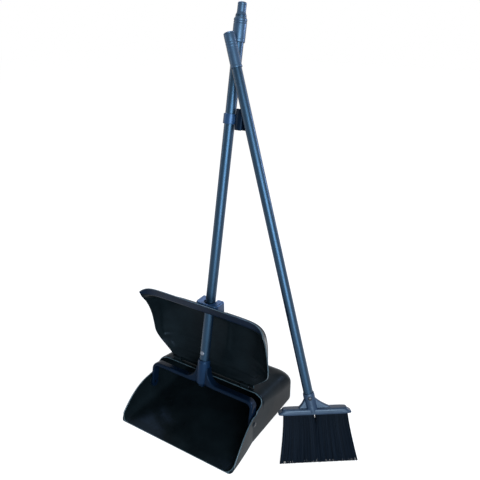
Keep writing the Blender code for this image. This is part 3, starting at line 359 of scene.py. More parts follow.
def mixed(tree, factor, first, second):
    return node(tree, "ShaderNodeMix", {"Factor": factor, "A": first, "B": second},
                data_type="RGBA").outputs["Result"]


def noise(tree, vector, scale, **inputs):
    """Fac of a noise texture."""
    return node(tree, "ShaderNodeTexNoise",
                {"Vector": vector, "Scale": scale, **inputs}).outputs["Fac"]


def own_place(tree):
    return node(tree, "ShaderNodeTexCoord").outputs["Object"]


def new_group(name, inputs, outputs):
    """An empty node group with named sockets, and its two end nodes."""
    tree = bpy.data.node_groups.new(name, "ShaderNodeTree")
    for label, kind, value in inputs:
        tree.interface.new_socket(label, in_out="INPUT", socket_type=kind).default_value = value
    for label, kind in outputs:
        tree.interface.new_socket(label, in_out="OUTPUT", socket_type=kind)
    return tree, tree.nodes.new("NodeGroupInput"), tree.nodes.new("NodeGroupOutput")


def moulded_group():
    """Moulded plastic: cloudy colour and gloss, flow lines, fine handling scratches, grain."""
    found = bpy.data.node_groups.get("moulded skin")
    if found:
        return found
    number, colour = "NodeSocketFloat", "NodeSocketColor"
    tree, start, end = new_group(
        "moulded skin",
        [("Colour", colour, (0.01, 0.01, 0.01, 1.0)),
         ("Worn Colour", colour, (0.02, 0.02, 0.02, 1.0)), ("Cloud Scale", number, 14.0),
         ("Grain Scale", number, 900.0), ("Smooth", number, 0.25), ("Dull", number, 0.4),
         ("Scratches", number, 0.5)],
        [("Colour", colour), ("Roughness", number), ("Height", number)])
    given, place = start.outputs, own_place(tree)
    clouds = noise(tree, place, given["Cloud Scale"], Detail=5.0, Roughness=0.6)
    stretch = node(tree, "ShaderNodeMapping", {"Vector": place, "Scale": (3.0, 1.0, 22.0),
                                               "Rotation": (0.5, 0.3, 0.9)}).outputs[0]
    lines = noise(tree, stretch, 34.0, Detail=3.0, Distortion=0.6)
    scratch = maths(tree, "MULTIPLY", mapped(tree, lines, 0.640, 0.675), given["Scratches"])
    worn = maths(tree, "MAXIMUM", mapped(tree, clouds, 0.36, 0.66, 0.0, 0.7), scratch, clamp=True)
    gloss = mapped(tree, clouds, 0.3, 0.7, given["Smooth"], given["Dull"])
    grain = noise(tree, place, given["Grain Scale"], Detail=2.0, Roughness=0.7)
    feed(tree, end, {"Colour": mixed(tree, worn, given["Colour"], given["Worn Colour"]),
                     "Roughness": maths(tree, "MULTIPLY_ADD", scratch, 0.12, gloss, clamp=True),
                     "Height": maths(tree, "MULTIPLY_ADD", clouds, 1.6, grain)})
    return tree


def new_material(name):
    made = bpy.data.materials.new(name)
    made.use_nodes = True
    return made, made.node_tree, made.node_tree.nodes["Principled BSDF"]


def moulded(tree, shader, slot, colour, gain, worn, smooth, dull, shine, tint, cloud, grain,
            relief, scratches):
    """Moulded plastic or paint, from its row in the table."""
    shade = [gain * part for part in getattr(bpy.context.scene.dustpan_finishes, colour)]
    made = node(tree, "ShaderNodeGroup", {
        "Colour": (*shade, 1.0), "Worn Colour": (*[part * worn for part in shade], 1.0),
        "Cloud Scale": cloud, "Grain Scale": grain, "Smooth": smooth, "Dull": dull,
        "Scratches": scratches}, node_tree=moulded_group()).outputs
    bump = node(tree, "ShaderNodeBump",
                {"Strength": 0.6, "Distance": relief, "Height": made["Height"]})
    feed(tree, shader, {"Specular IOR Level": shine, "Specular Tint": (*tint, 1.0),
                        "Base Color": made["Colour"], "Roughness": made["Roughness"],
                        "Normal": bump.outputs["Normal"]})


def drawn_steel(tree, shader, level):
    """Drawn steel: fine stretched streaks in its roughness and colour."""
    stretch = node(tree, "ShaderNodeMapping", {"Vector": own_place(tree),
                                               "Scale": (400.0, 2600.0, 2600.0)}).outputs[0]
    streaks = noise(tree, stretch, 1.0, Detail=4.0)
    low, high = [(*[part * level for part in tone], 1.0)
                 for tone in ((0.08, 0.10, 0.13), (0.22, 0.25, 0.30))]
    feed(tree, shader, {"Base Color": mixed(tree, streaks, low, high), "Metallic": 1.0,
                        "Roughness": mapped(tree, streaks, 0.0, 1.0, 0.18, 0.42)})


def nylon(tree, shader):
    """Nylon filaments: each has its own tone, with painted shade in it towards the block and in the
    bunch's core, and a fine speckle over it.
    """
    own = node(tree, "ShaderNodeAttribute", attribute_name="tone").outputs["Fac"]
    speckle = maths(tree, "MULTIPLY", noise(tree, own_place(tree), 320.0, Detail=3.0), 0.25)
    shade = tuple(bpy.context.scene.dustpan_finishes.bristles)
    low, high = [(*[part * gain for part in shade], 1.0) for gain in (0.35, 1.9)]
    tone = mixed(tree, maths(tree, "MULTIPLY_ADD", own, 0.75, speckle), low, high)
    feed(tree, shader, {"Base Color": tone, "Roughness": mapped(tree, own, 0.0, 1.0, 0.62, 0.38),
                        "Specular IOR Level": 0.05, "Specular Tint": (0.70, 0.84, 1.0, 1.0)})


def finish(name):
    """The named material, made on first use."""
    found = bpy.data.materials.get(name)
    if found:
        return found
    made, tree, shader = new_material(name)
    if name in MOULDED:
        moulded(tree, shader, *MOULDED[name])
    elif name in STEEL_LEVELS:
        drawn_steel(tree, shader, STEEL_LEVELS[name])
    else:
        nylon(tree, shader)
    return made


# ---- pan --------------------------------------------------------------------------------------
def pan_half(depth):
    """Half width: w + s (1 - t^1.6) over the flare, then widening evenly to the rear."""
    part = np.clip(depth / FLARE_DEPTH, 0.0, 1.0)
    rear = np.clip((depth - FLARE_DEPTH) / (PAN_DEPTH - FLARE_DEPTH), 0.0, 1.0)
    return WAIST + LIP_SPREAD * (1.0 - part ** 1.6) + REAR_SPREAD * rear


def hood_top(depth):
    return HOOD_HEIGHT - HOOD_FALL * (depth - HOOD_FRONT)


def mouth_height(depth):
    """Height of the walls' front edge: h (1 - (1 - t)^p), a small step, then a quarter ellipse."""
    low = SIDE_TOP * (1.0 - (1.0 - np.clip(depth / STEP_DEPTH, 0.0, 1.0)) ** EDGE_SWEEP)
    foot = STEP_DEPTH + STEP_RISE / 2.0
    step = STEP_RISE * np.clip((depth - STEP_DEPTH) / (foot - STEP_DEPTH), 0.0, 1.0)
    across = np.clip((depth - foot) / (HOOD_FRONT - foot), 0.0, 1.0)
    bow = (HOOD_HEIGHT - SIDE_TOP - STEP_RISE) * (1.0 - np.sqrt(1.0 - across ** 2))
    return low + step + bow


def pan_levels():
    """Section columns: floor, fillet, wall, shoulder and hood, as (kind, value) arrays."""
    floor = np.linspace(0.0, 1.0, 25)[:-1]
    fillet = np.linspace(0.0, math.pi / 2.0, 9)
    wall = np.linspace(0.0, 1.0, 14)[1:-1]
    shoulder = np.linspace(0.0, math.pi / 2.0, 13)
    hood = np.linspace(1.0, 0.0, 25)[1:]
    return floor, fillet, wall, shoulder, hood


def pan_loop(kind, angle, wall, depths):
    """One level of the pan's right half as a path (n, 3): side stations, the rear corner's arc and
    the rear wall to its middle. Kind 0 is the floor's fillet, kind 1 the hood's shoulder."""
    if kind == 0:
        part = np.clip(depths / PAN_DEPTH, 0.0, 1.0)
        radius = FLOOR_RADIUS if wall == 0.0 else FILLET_FRONT + (FILLET_REAR - FILLET_FRONT) * part
        radius = np.broadcast_to(radius, depths.shape)
        last = FLOOR_RADIUS if wall == 0.0 else FILLET_REAR
        inset = radius * (1.0 - math.sin(angle))
        side_z = wall + radius * (1.0 - math.cos(angle))
        side = rear = last * (1.0 - math.sin(angle))
        turn = np.linspace(0.0, math.pi / 2.0, 17)
        corner_z = np.full(17, wall + last * (1.0 - math.cos(angle)))
    else:
        tuck, drop = 1.0 - math.cos(angle), 1.0 - math.sin(angle)
        reach = PAN_DEPTH - SHOULDER_REAR - CORNER_RADIUS
        part = np.clip((depths - HOOD_FRONT) / (reach - HOOD_FRONT), 0.0, 1.0)
        radius = SHOULDER_FRONT + (SHOULDER_SIDE - SHOULDER_FRONT) * part - wall
        inset = radius * tuck
        side_z = hood_top(depths) - wall - radius * drop
        side, rear = (SHOULDER_SIDE - wall) * tuck, (SHOULDER_REAR - wall) * tuck
        turn = np.linspace(0.0, math.pi / 2.0, 17)
        corner_z = None
    sides = np.stack([pan_half(depths) - wall - inset, depths, side_z], axis=-1)
    radius = CORNER_RADIUS - wall
    across = pan_half(PAN_DEPTH - SHOULDER_REAR) - wall - side - radius
    back = PAN_DEPTH - wall - rear - radius
    corner_y = back + radius * np.sin(turn)
    if corner_z is None:
        grown = SHOULDER_SIDE + (SHOULDER_REAR - SHOULDER_SIDE) * np.sin(turn) ** 2 - wall
        corner_z = hood_top(corner_y) - wall - grown * (1.0 - math.sin(angle))
    corner = np.stack([across + radius * np.cos(turn), corner_y, corner_z], axis=-1)
    between = np.linspace(0.0, 1.0, 8)[1:-1, None]
    middle = corner[-1]
    rear_wall = middle * np.insert(np.ones((12, 2)), 0, np.linspace(1.0, 0.0, 13)[1:], axis=1)
    return np.concatenate([sides, sides[-1] + (corner[0] - sides[-1]) * between, corner, rear_wall])


def pan_side(wall, depths, front_rows, lip, bead):
    """Right half of one face of the pan, outer for wall 0. Returns the grid up to the shoulder's
    end and the hood's grid. Ahead of the hood each section is cut where it meets the mouth's edge
    or the rounded lip corner, and its columns are spread over what is left."""
    floor, fillet, rise, shoulder, hood = pan_levels()
    fillets = [pan_loop(0, angle, wall, depths) for angle in fillet]
    shoulders = [pan_loop(1, angle, wall, depths) for angle in shoulder]
    walls = [fillets[-1] + (shoulders[0] - fillets[-1]) * part for part in rise]
    base = fillets[0]
    floors = [base * (part, 1.0, 1.0) for part in floor]
    upper = np.stack(fillets + walls + shoulders, axis=1)
    lower = np.stack(floors, axis=1)
    for row in range(front_rows - 1):
        depth = depths[row]
        limit = pan_half(LIP_CORNER)
        if depth < LIP_CORNER:
            limit = limit - LIP_CORNER + math.sqrt(LIP_CORNER ** 2 - (LIP_CORNER - depth) ** 2)
        line = upper[row]
        arc = np.concatenate([[0.0], np.cumsum(np.linalg.norm(np.diff(line, axis=0), axis=1))])
        cut = mouth_height(depth)
        reach = np.interp(cut, line[:, 2], arc) if line[-1, 2] > cut else arc[-1]
        outward = np.maximum.accumulate(line[:, 0])
        if depth < LIP_CORNER:
            reach = min(reach, float(np.interp(limit, outward, arc)))
        reach = max(reach - bead, 0.0)
        spread = arc / arc[-1] * reach
        upper[row] = np.stack([np.interp(spread, arc, line[:, k]) for k in range(3)], axis=-1)
        edge = float(upper[row, 0, 0])
        if depth < LIP_CORNER:
            edge = min(edge, limit - bead)
        lower[row, :, 0] *= edge / max(float(base[row, 0]), 1e-6)
        if edge < upper[row, 0, 0]:
            upper[row] = (edge, depth, upper[row, 0, 2])
    if wall > 0.0:
        ramp = np.interp(depths, [0.0, LIP_RAMP], [wall - lip, 0.0])
        rows = len(depths)
        for part in (lower, upper):
            near = np.clip(1.0 - (part[:rows, :, 2] - wall) / 0.010, 0.0, 1.0)
            part[:rows, :, 2] -= ramp[:, None] * near
    hoods = np.stack([shoulders[-1] * (part, 1.0, 1.0) for part in hood], axis=1)[front_rows - 1:]
    full = np.concatenate([lower, upper], axis=1)
    hoods = np.concatenate([full[front_rows - 1:, -1:], hoods], axis=1)
    shift = np.array([0.0, LIP_Y, 0.0])
    return full + shift, hoods + shift


def pan_shell(wall, lip, bead):
    """Outer and inner faces of the pan joined by a rounded edge along lip, walls and hood."""
    depths = np.unique(np.concatenate([
        np.linspace(bead, LIP_CORNER, 12), np.linspace(LIP_CORNER, STEP_DEPTH, 34),
        np.linspace(STEP_DEPTH, HOOD_FRONT, 22),
        np.linspace(HOOD_FRONT, PAN_DEPTH - SHOULDER_REAR - CORNER_RADIUS, 18)]))
    front_rows = int(np.searchsorted(depths, HOOD_FRONT)) + 1
    parts, edges = [], []
    for face_wall in (0.0, wall):
        full, hood = pan_side(face_wall, depths, front_rows, lip, bead)
        parts += [sheet(full), sheet(hood)]
        edges.append(np.concatenate([full[0], full[1:front_rows, -1], hood[0, 1:]]))
    outer, inner = edges
    run = np.gradient(outer, axis=0)
    through = inner - outer
    out = np.cross(run, through)
    out /= np.maximum(np.linalg.norm(out, axis=1, keepdims=True), 1e-12)
    still = np.linalg.norm(run, axis=1) < 1e-7
    out[still] = (0.7, -0.7, 0.0)
    if out[2] @ np.array([0.0, -1.0, 0.0]) < 0.0:
        out[~still] *= -1.0
    rows = [outer + through * t + out * bead * math.sin(math.pi * t) ** 0.6
            for t in (0.0, 0.1, 0.25, 0.5, 0.75, 0.9, 1.0)]
    points, faces = joined(*parts, sheet(np.stack(rows)))
    return joined((points, faces), (points * (-1.0, 1.0, 1.0), faces[:, ::-1]))


def hinge_ear(low, high):
    """Round-topped plate over the lid's pin, from x low to high."""
    root = HOOD_HEIGHT - 0.0012
    turn = np.linspace(0.0, math.pi, 17)
    top = np.column_stack([HINGE.y + KNUCKLE_RADIUS * np.cos(turn),
                           HINGE.z + KNUCKLE_RADIUS * np.sin(turn)])
    reach = KNUCKLE_RADIUS * 1.25
    foot = [(HINGE.y - reach, root), (HINGE.y + reach, root - 0.0011)]
    return plate(np.concatenate([top, foot]), [(low, 1.0), (high, 1.0)], axis=0)


def side_place(centre, side):
    """Place a Z-built part along +X for side 1 or -X for side -1."""
    return Matrix.Translation(centre) @ Matrix.Rotation(side * math.pi / 2.0, 4, "Y")


class PanSizes(bpy.types.PropertyGroup):
    wall: FloatProperty(name="Wall", description="Thickness of the pan's walls", default=0.0024,
                        unit="LENGTH")
    lip_edge: FloatProperty(name="Lip edge", description="Thickness at the very edge of the lip",
                            default=0.0009, unit="LENGTH")
    bead: FloatProperty(name="Edge rounding", description="How far the mouth's edge is rounded",
                        default=0.0007, unit="LENGTH")


class DUSTPAN_OT_pan(bpy.types.Operator):
    """Build the pan's shell, its hinge ears and its pivot bosses"""
    bl_idname = "dustpan.pan"
    bl_label = "Pan"

    def execute(self, context):
        sizes = context.scene.dustpan_pan
        pan = put("pan_shell", pan_shell(sizes.wall, sizes.lip_edge, sizes.bead), BLACK, "pan",
                  ["pan_body"], sharp=50.0)
        centres = face_centres(pan)
        depth = centres[:, 1] - LIP_Y
        # The mouth's rounded edge and the lip's front get the painted highlight finish.
        edge = (centres[:, 2] > mouth_height(depth) - EDGE_REACH) & (depth < HOOD_FRONT)
        refinish(pan, EDGE, edge | (depth < sizes.bead))
        inner = KNUCKLE_OFFSET - KNUCKLE_WIDTH / 2.0 - GAP
        outer = KNUCKLE_OFFSET + KNUCKLE_WIDTH / 2.0 + GAP
        spans = [(inner - EAR_WIDTH, inner), (outer, outer + EAR_WIDTH)]
        ears = [hinge_ear(low, high) for low, high in spans]
        ears += [hinge_ear(-high, -low) for low, high in spans]
        bevel(put("pan_hinge_ears", joined(*ears), BLACK, "pan", sharp=None), 0.0005)
        face = ARM_OUTER + GAP
        root = float(pan_half(np.array(PIVOT_BACK))) - sizes.wall / 2.0
        boss = turned([(0.0, face), (BOSS_RADIUS, face), (BOSS_RADIUS, root), (0.0, root)],
                      0.0008, 48)
        bosses = [placed(boss, side_place(PIVOT, side)) for side, _ in SIDES]
        put("pan_pivot_bosses", joined(*bosses), BLACK, "pan")
        return {"FINISHED"}


class DUSTPAN_OT_pins(bpy.types.Operator):
    """Build the yoke's two pins and the lid's two pins"""
    bl_idname = "dustpan.pins"
    bl_label = "Pins"

    def execute(self, context):
        outside = float(pan_half(np.array(PIVOT_BACK))) + GAP
        inner = ARM_OUTER - ARM_WIDTH
        big = [(0.0, inner), (0.0027, inner), (0.0030, inner + 0.0004), (0.0030, outside),
               (0.0055, outside), (0.0055, outside + 0.0006), (0.0048, outside + 0.0012),
               (0.0034, outside + 0.0016), (0.0, outside + 0.0018)]
        first = KNUCKLE_OFFSET - KNUCKLE_WIDTH / 2.0 - GAP - EAR_WIDTH
        last = KNUCKLE_OFFSET + KNUCKLE_WIDTH / 2.0 + 2 * GAP + EAR_WIDTH
        small = [(0.0, first), (0.0019, first), (0.0019, last), (0.0034, last),
                 (0.0034, last + 0.0004), (0.0027, last + 0.0010), (0.0, last + 0.0012)]
        for side, word in SIDES:
            for centre, profile, kind in ((PIVOT, big, "pivot_pin_"), (HINGE, small, "lid_pin_")):
                part = placed(turned(profile, 0.0004, 40, steps=3), side_place(centre, side))
                put(kind + word + "_turned", part, DARK_STEEL, "pan", [kind + word])
        return {"FINISHED"}


# ---- lid --------------------------------------------------------------------------------------
def station_curve(table, t):
    """Catmull-Rom through the stations up to the crest, straight runs over the top wall and rim."""
    table = np.array(table, dtype=float).reshape(len(table), -1)
    bent = table[:9]
    index = np.clip(np.floor(t).astype(int), 0, 7)
    part = (t - index)[:, None]
    a, b = bent[np.maximum(index - 1, 0)], bent[index]
    c, d = bent[index + 1], bent[np.minimum(index + 2, 8)]
    curve = 0.5 * (2 * b + (c - a) * part + (2 * a - 5 * b + 4 * c - d) * part ** 2
                   + (3 * b - a - 3 * c + d) * part ** 3)
    straight = np.column_stack([np.interp(t, np.arange(len(table)), table[:, k])
                                for k in range(table.shape[1])])
    return np.where((t > 8.0)[:, None], straight, curve)


def softened(table, t, reach=0.13):
    """The station curve averaged over t - w to t + w, which rounds its creases."""
    width = np.minimum(reach, np.minimum(t, 10.0 - t))
    return sum(station_curve(table, t + width * k) for k in np.linspace(-1.0, 1.0, 7)) / 7.0


def lid_rows():
    return np.unique(np.concatenate([np.linspace(0.0, 10.0, 121), [SLOT_REAR, SLOT_FRONT]]))


def lid_points(t, across, recess):
    """Sheet point: side + (middle - side) (1 - |s|^n), with n from 4 at the axis to 12 at the rim,
    moved back along the normal in the two recessed panels. across is -1 to 1."""
    middle, side = softened(LID_MIDDLE, t), softened(LID_SIDE, t)
    half = softened(LID_HALF, t)[:, 0]
    edge = np.abs(across)
    core = SLOT_HALF * np.clip(edge / SLOT_SHARE, 0.0, 1.0)
    beyond = np.clip((edge - SLOT_SHARE) / (1.0 - SLOT_SHARE), 0.0, 1.0)
    spread = np.sin(beyond * math.pi / 2.0)
    x = np.sign(across) * (core + (half[:, None] - SLOT_HALF) * spread)
    s = np.abs(x) / half[:, None]
    power = (4.0 + 8.0 * (t / 10.0) ** 3)[:, None]
    dish = (1.0 - s ** power)[..., None]
    place = side[:, None] + (middle - side)[:, None] * dish
    points = np.concatenate([x[..., None], place], axis=-1)
    along, over = np.gradient(points, axis=0), np.gradient(points, axis=1)
    normal = np.cross(over, along)
    normal /= np.linalg.norm(normal, axis=-1, keepdims=True)
    inside = half[:, None] - np.abs(x)
    rise = t[:, None] + 0.0 * x
    panel = step_up(inside, 0.0085, 0.0125) * step_up(np.abs(x), 0.024, 0.030)
    panel = panel * step_up(rise, 2.3, 2.6) * step_up(-rise, -7.9, -7.6)
    lower = step_up(inside, 0.016, 0.024) * step_up(rise, 0.9, 1.2) * step_up(-rise, -1.9, -1.6)
    strip = step_up(rise, 9.04, 9.10) * 0.55
    return points - normal * recess * (panel + 0.6 * lower - strip * 0.6)[..., None]


def lid_sheet(recess):
    """The lid's middle surface without the slot that the handle passes."""
    t = lid_rows()
    wing = np.linspace(SLOT_SHARE, 1.0, 46)
    across = np.concatenate([-wing[::-1], np.linspace(-SLOT_SHARE, SLOT_SHARE, 11)[1:-1], wing])
    points = lid_points(t, across, recess)
    hem = points[:1] + np.array(LID_HEM) * np.array([1.0, 0.66, 0.33])[:, None, None]
    points, t = np.concatenate([hem, points]), np.concatenate([np.zeros(3), t])
    faces = cells(len(t), len(across))
    row, column = faces[:, 0] // len(across), faces[:, 0] % len(across)
    middle_t = (t[row] + t[row + 1]) / 2.0
    middle_s = (across[column] + across[column + 1]) / 2.0
    slot = (middle_t > SLOT_REAR) & (middle_t < SLOT_FRONT) & (np.abs(middle_s) < SLOT_SHARE)
    return points.reshape(-1, 3), faces[~slot]


def horseshoe(half, front, rear, radius):
    """Half a slot's outline in plan: down one side, round two corners of the radius, up the
    other side."""
    turn = np.linspace(0.0, math.pi / 2.0, 13)
    side = np.column_stack([np.full(9, half), np.linspace(rear, front + radius, 9)])
    corner = np.column_stack([half - radius + radius * np.cos(turn),
                              front + radius - radius * np.sin(turn)])
    middle = np.column_stack([np.linspace(half - radius, 0.0, 6), np.full(6, front)])
    right = np.concatenate([side, corner[1:], middle[1:]])
    return mirrored(right)


class LidSizes(bpy.types.PropertyGroup):
    recess: FloatProperty(name="Panel recess", description="Depth of the lid's recessed panels",
                          default=0.0020, unit="LENGTH")
    guide_rounding: FloatProperty(name="Guide rounding", default=0.0038, unit="LENGTH",
                                  description="Rounding of the guide's upper edges")


class DUSTPAN_OT_lid(bpy.types.Operator):
    """Build the lid's shell and its two hinge knuckles"""
    bl_idname = "dustpan.lid"
    bl_label = "Lid"

    def execute(self, context):
        sheet = placed(lid_sheet(context.scene.dustpan_lid.recess), LID)
        lid = put("lid_shell", sheet, BLACK, "lid", ["lid"], sharp=None)
        # The rim band above the top wall takes the bluer fork plastic: painted sheen on the lid's
        # own black.
        refinish(lid, FORK, face_centres(lid)[:, 2] - HINGE.z > LID_MIDDLE[9][1] + RIM_RISE)
        # The lid's cut edges, the Solidify rim, get the painted highlight finish.
        lid.data.materials.append(finish(EDGE))
        wall = lid.modifiers.new("wall", "SOLIDIFY")
        wall.thickness = LID_WALL
        wall.offset = 0.0
        wall.use_even_offset = True
        wall.material_offset_rim = 2
        bevel(lid, 0.0007, 3, 60.0)
        angle = math.atan2(LID_MIDDLE[0][1], LID_MIDDLE[0][0])
        reach = math.hypot(*LID_MIDDLE[0]) + 0.0025
        half = KNUCKLE_WIDTH / 2.0
        barrel = turned([(0.0022, -half), (KNUCKLE_RADIUS, -half), (KNUCKLE_RADIUS, half),
                         (0.0022, half)], 0.0006, 40, ring=True)
        strap = plate(squarish(half, 0.0018, 6.0), [(y, 1.0) for y in (0.0026, reach * 0.6, reach)],
                      axis=1)
        parts = []
        for side, _ in SIDES:
            spot = Matrix.Translation(HINGE + Vector((side * KNUCKLE_OFFSET, 0.0, 0.0)))
            parts += [placed(barrel, spot @ Matrix.Rotation(math.pi / 2.0, 4, "Y")),
                      placed(strap, spot @ Matrix.Rotation(angle, 4, "X"))]
        put("lid_knuckles", joined(*parts), BLACK, "lid")
        return {"FINISHED"}


class DUSTPAN_OT_guide(bpy.types.Operator):
    """Build the horseshoe guide that the handle passes through"""
    bl_idname = "dustpan.guide"
    bl_label = "Handle guide"

    def execute(self, context):
        (_, front, _), (half, rear, top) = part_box("lid_guide")
        slope = (LID_MIDDLE[8][1] - LID_MIDDLE[9][1]) / (LID_MIDDLE[8][0] - LID_MIDDLE[9][0])
        outer = horseshoe(half, front, rear, GUIDE_CORNER)
        inner = horseshoe(SLOT_HALF, front + GUIDE_WEB, rear, SLOT_HALF * 0.8)
        step = np.gradient(outer, axis=0)
        out = np.column_stack([-step[:, 1], step[:, 0]]) / np.linalg.norm(step, axis=1)[:, None]
        out = -out if out[0, 0] < 0.0 else out
        radius = context.scene.dustpan_lid.guide_rounding
        deck = HINGE.z + LID_MIDDLE[9][1] + LID_WALL / 2.0 + GAP
        rings = [(outer, None)]
        for turn in np.linspace(0.0, math.pi / 2.0, 7):
            rings.append((outer - out * (radius * (1.0 - math.cos(turn))),
                          top - radius * (1.0 - math.sin(turn))))
        rings += [(inner, top - 0.0006), (inner, None)]
        loops = []
        for ring, height in rings:
            if height is None:
                height = deck + slope * (ring[:, 1] - HINGE.y - LID_MIDDLE[9][0])
            loops.append(np.column_stack([ring, np.broadcast_to(height, len(ring))]))
        # The guide wears the lit copy of the fork plastic: painted highlight.
        put("lid_guide_horseshoe", skin(np.stack(loops, axis=1)), GUIDE, "lid", ["lid_guide"],
            sharp=50.0)
        return {"FINISHED"}


# ---- yoke and handle --------------------------------------------------------------------------
def yoke_skin():
    """Superellipse section carried from the right foot, round the bend and along the bar to the
    left foot. Its two edges are the fork's inner and outer outlines; near the middle the outer
    edge climbs to the socket as 1 - cos."""
    inner_x = ARM_OUTER - ARM_WIDTH
    lift = np.linspace(-ARM_TAIL, BAR_HIGH - BAR_BEND, 16)
    arm_in = np.column_stack([np.full(16, inner_x), np.minimum(lift, BAR_LOW - INNER_BEND)])
    arm_out = np.column_stack([np.full(16, ARM_OUTER), lift])
    turn = np.linspace(0.0, math.pi / 2.0, 13)[1:]
    bend_in = np.column_stack([inner_x - INNER_BEND * (1.0 - np.cos(turn)),
                               BAR_LOW - INNER_BEND * (1.0 - np.sin(turn))])
    bend_out = np.column_stack([ARM_OUTER - BAR_BEND + BAR_BEND * np.cos(turn),
                                BAR_HIGH - BAR_BEND + BAR_BEND * np.sin(turn)])
    x = np.concatenate([np.linspace(0.118, WING_SPREAD, 14), np.linspace(WING_SPREAD, 0.0, 30)[1:]])
    part = np.clip((WING_SPREAD - x) / (WING_SPREAD - SOCKET_RADIUS), 0.0, 1.0)
    climb = (SOCKET_TOP - BAR_HIGH) * 0.72 * (1.0 - np.sqrt(1.0 - part ** 2.4))
    bar_in = np.column_stack([x, np.full(len(x), BAR_LOW)])
    bar_out = np.column_stack([x, BAR_HIGH + climb])
    inner = np.concatenate([arm_in, bend_in, bar_in])
    outer = np.concatenate([arm_out, bend_out, bar_out])
    deep = np.full(len(inner), (YOKE_FRONT + YOKE_BACK) / 2.0)
    foot = np.clip((inner[:16, 1] + ARM_TAIL) / 0.010, 0.0, 1.0)
    deep[:16] *= 0.55 + 0.45 * np.sqrt(1.0 - (1.0 - foot) ** 2)
    inner, outer = mirrored(inner), mirrored(outer)
    deep = np.concatenate([deep, deep[-2::-1]])
    loop = squarish(1.0, 1.0, 5.0, 36)
    middle, reach = (inner + outer) / 2.0, (outer - inner) / 2.0
    flat = middle[:, None] + reach[:, None] * loop[None, :, :1]
    back = (YOKE_BACK - YOKE_FRONT) / 2.0 + deep[:, None] * loop[None, :, 1]
    return skin(np.stack([flat[..., 0], back, flat[..., 1]], axis=-1))


class HandleSizes(bpy.types.PropertyGroup):
    groove: FloatProperty(name="Groove", description="Depth of the rings cut round the grips",
                          default=0.0006, unit="LENGTH")
    sides: IntProperty(name="Sides", description="Facets round each tube", default=72)


class DUSTPAN_OT_yoke(bpy.types.Operator):
    """Build the fork that carries the handle, with its socket and tab"""
    bl_idname = "dustpan.yoke"
    bl_label = "Yoke"

    def execute(self, context):
        put("yoke_fork", placed(yoke_skin(), HANDLE), FORK, "handle", ["yoke"])
        bore, rim = TUBE_RADIUS + GAP, SOCKET_RADIUS
        sleeve = [(0.0, BAR_LOW + 0.004), (rim - 0.0004, BAR_LOW + 0.004), (rim, 0.070),
                  (rim, SOCKET_TOP - 0.0055), (rim - 0.0010, SOCKET_TOP - 0.0040),
                  (rim - 0.0010, SOCKET_TOP), (bore, SOCKET_TOP), (bore, 0.0697), (0.0, 0.0697)]
        sides = context.scene.dustpan_handle.sides
        # The socket wears the lit copy of the fork plastic: painted sheen.
        put("yoke_socket", placed(turned(sleeve, 0.0011, sides), HANDLE), SOCKET, "handle")
        tab = plate(squarish(0.0068, 0.0060, 4.0), [
            (BAR_LOW - 0.0059, 0.80), (BAR_LOW - 0.0050, 0.97), (BAR_LOW - 0.0035, 1.0),
            (BAR_LOW + 0.002, 1.0)])
        put("yoke_tab", placed(tab, HANDLE), FORK, "handle")
        return {"FINISHED"}


def grooves(radius, depth, starts, width=0.0016):
    """Profile points of rings cut into a radius, one at each start height."""
    out = []
    for start in starts:
        out += [(radius, start), (radius - depth, start + width * 0.3),
                (radius - depth, start + width * 0.7), (radius, start + width)]
    return out


def drawn_tube(radius, low, high, sides):
    """Open tube with eased ends."""
    bore = radius - TUBE_WALL
    section = [(bore, low), (radius, low), (radius, high), (bore, high)]
    return turned(section, 0.0004, sides, ring=True)


class DUSTPAN_OT_handle(bpy.types.Operator):
    """Build the pan's handle tube, its rivet, grip and hanging stub"""
    bl_idname = "dustpan.handle"
    bl_label = "Pan handle"

    def execute(self, context):
        sizes = context.scene.dustpan_handle
        put("pan_handle_drawn_tube",
            placed(drawn_tube(TUBE_RADIUS, 0.0700, TUBE_TOP, sizes.sides), HANDLE), PAINT, "handle",
            ["pan_handle_tube"])
        face = TUBE_RADIUS + GAP
        rivet = [(0.0, 0.0070), (0.0030, 0.0070), (0.0030, face), (0.0048, face),
                 (0.0047, face + 0.0005), (0.0036, face + 0.0011), (0.0, face + 0.0014)]
        seat = HANDLE @ Matrix.Translation((0.0, 0.0, RIVET_HEIGHT)) @ FORWARD
        put("handle_rivet_domed", placed(turned(rivet, 0.0004, 36, steps=3), seat), STEEL, "handle",
            ["handle_rivet"])
        bore, outer = TUBE_RADIUS + GAP, GRIP_RADIUS
        grip = [(bore, GRIP_BOTTOM), (outer - 0.0009, GRIP_BOTTOM), (outer, GRIP_BOTTOM + 0.0012),
                *grooves(outer, 0.0002, [GRIP_BOTTOM + 0.0060], 0.0012),
                *grooves(outer, sizes.groove, [GRIP_TOP - 0.0120, GRIP_TOP - 0.0080]),
                (outer, GRIP_TOP - 0.0030), (outer - 0.0022, GRIP_TOP), (bore, GRIP_TOP)]
        put("pan_grip_sleeve", placed(turned(grip, 0.0009, sizes.sides, True, 3), HANDLE), GRIP,
            "handle", ["pan_grip"])
        plug, low, rim = TUBE_RADIUS - TUBE_WALL - GAP, TUBE_TOP + GAP, STUB_RADIUS
        stub = [(0.0, TUBE_TOP - 0.018), (plug, TUBE_TOP - 0.018), (plug, low), (TUBE_RADIUS, low),
                (rim + 0.0004, low + 0.0040), (rim, low + 0.0060), (rim, STUB_TOP - 0.0060),
                (rim - 0.0003, STUB_TOP - 0.0054), (rim, STUB_TOP - 0.0048),
                (rim, STUB_TOP - 0.0018), (rim - 0.0018, STUB_TOP), (0.0, STUB_TOP)]
        put("hanging_stub_moulded", placed(turned(stub, 0.0010, 56), HANDLE), GRIP, "handle",
            ["hanging_stub"])
        return {"FINISHED"}


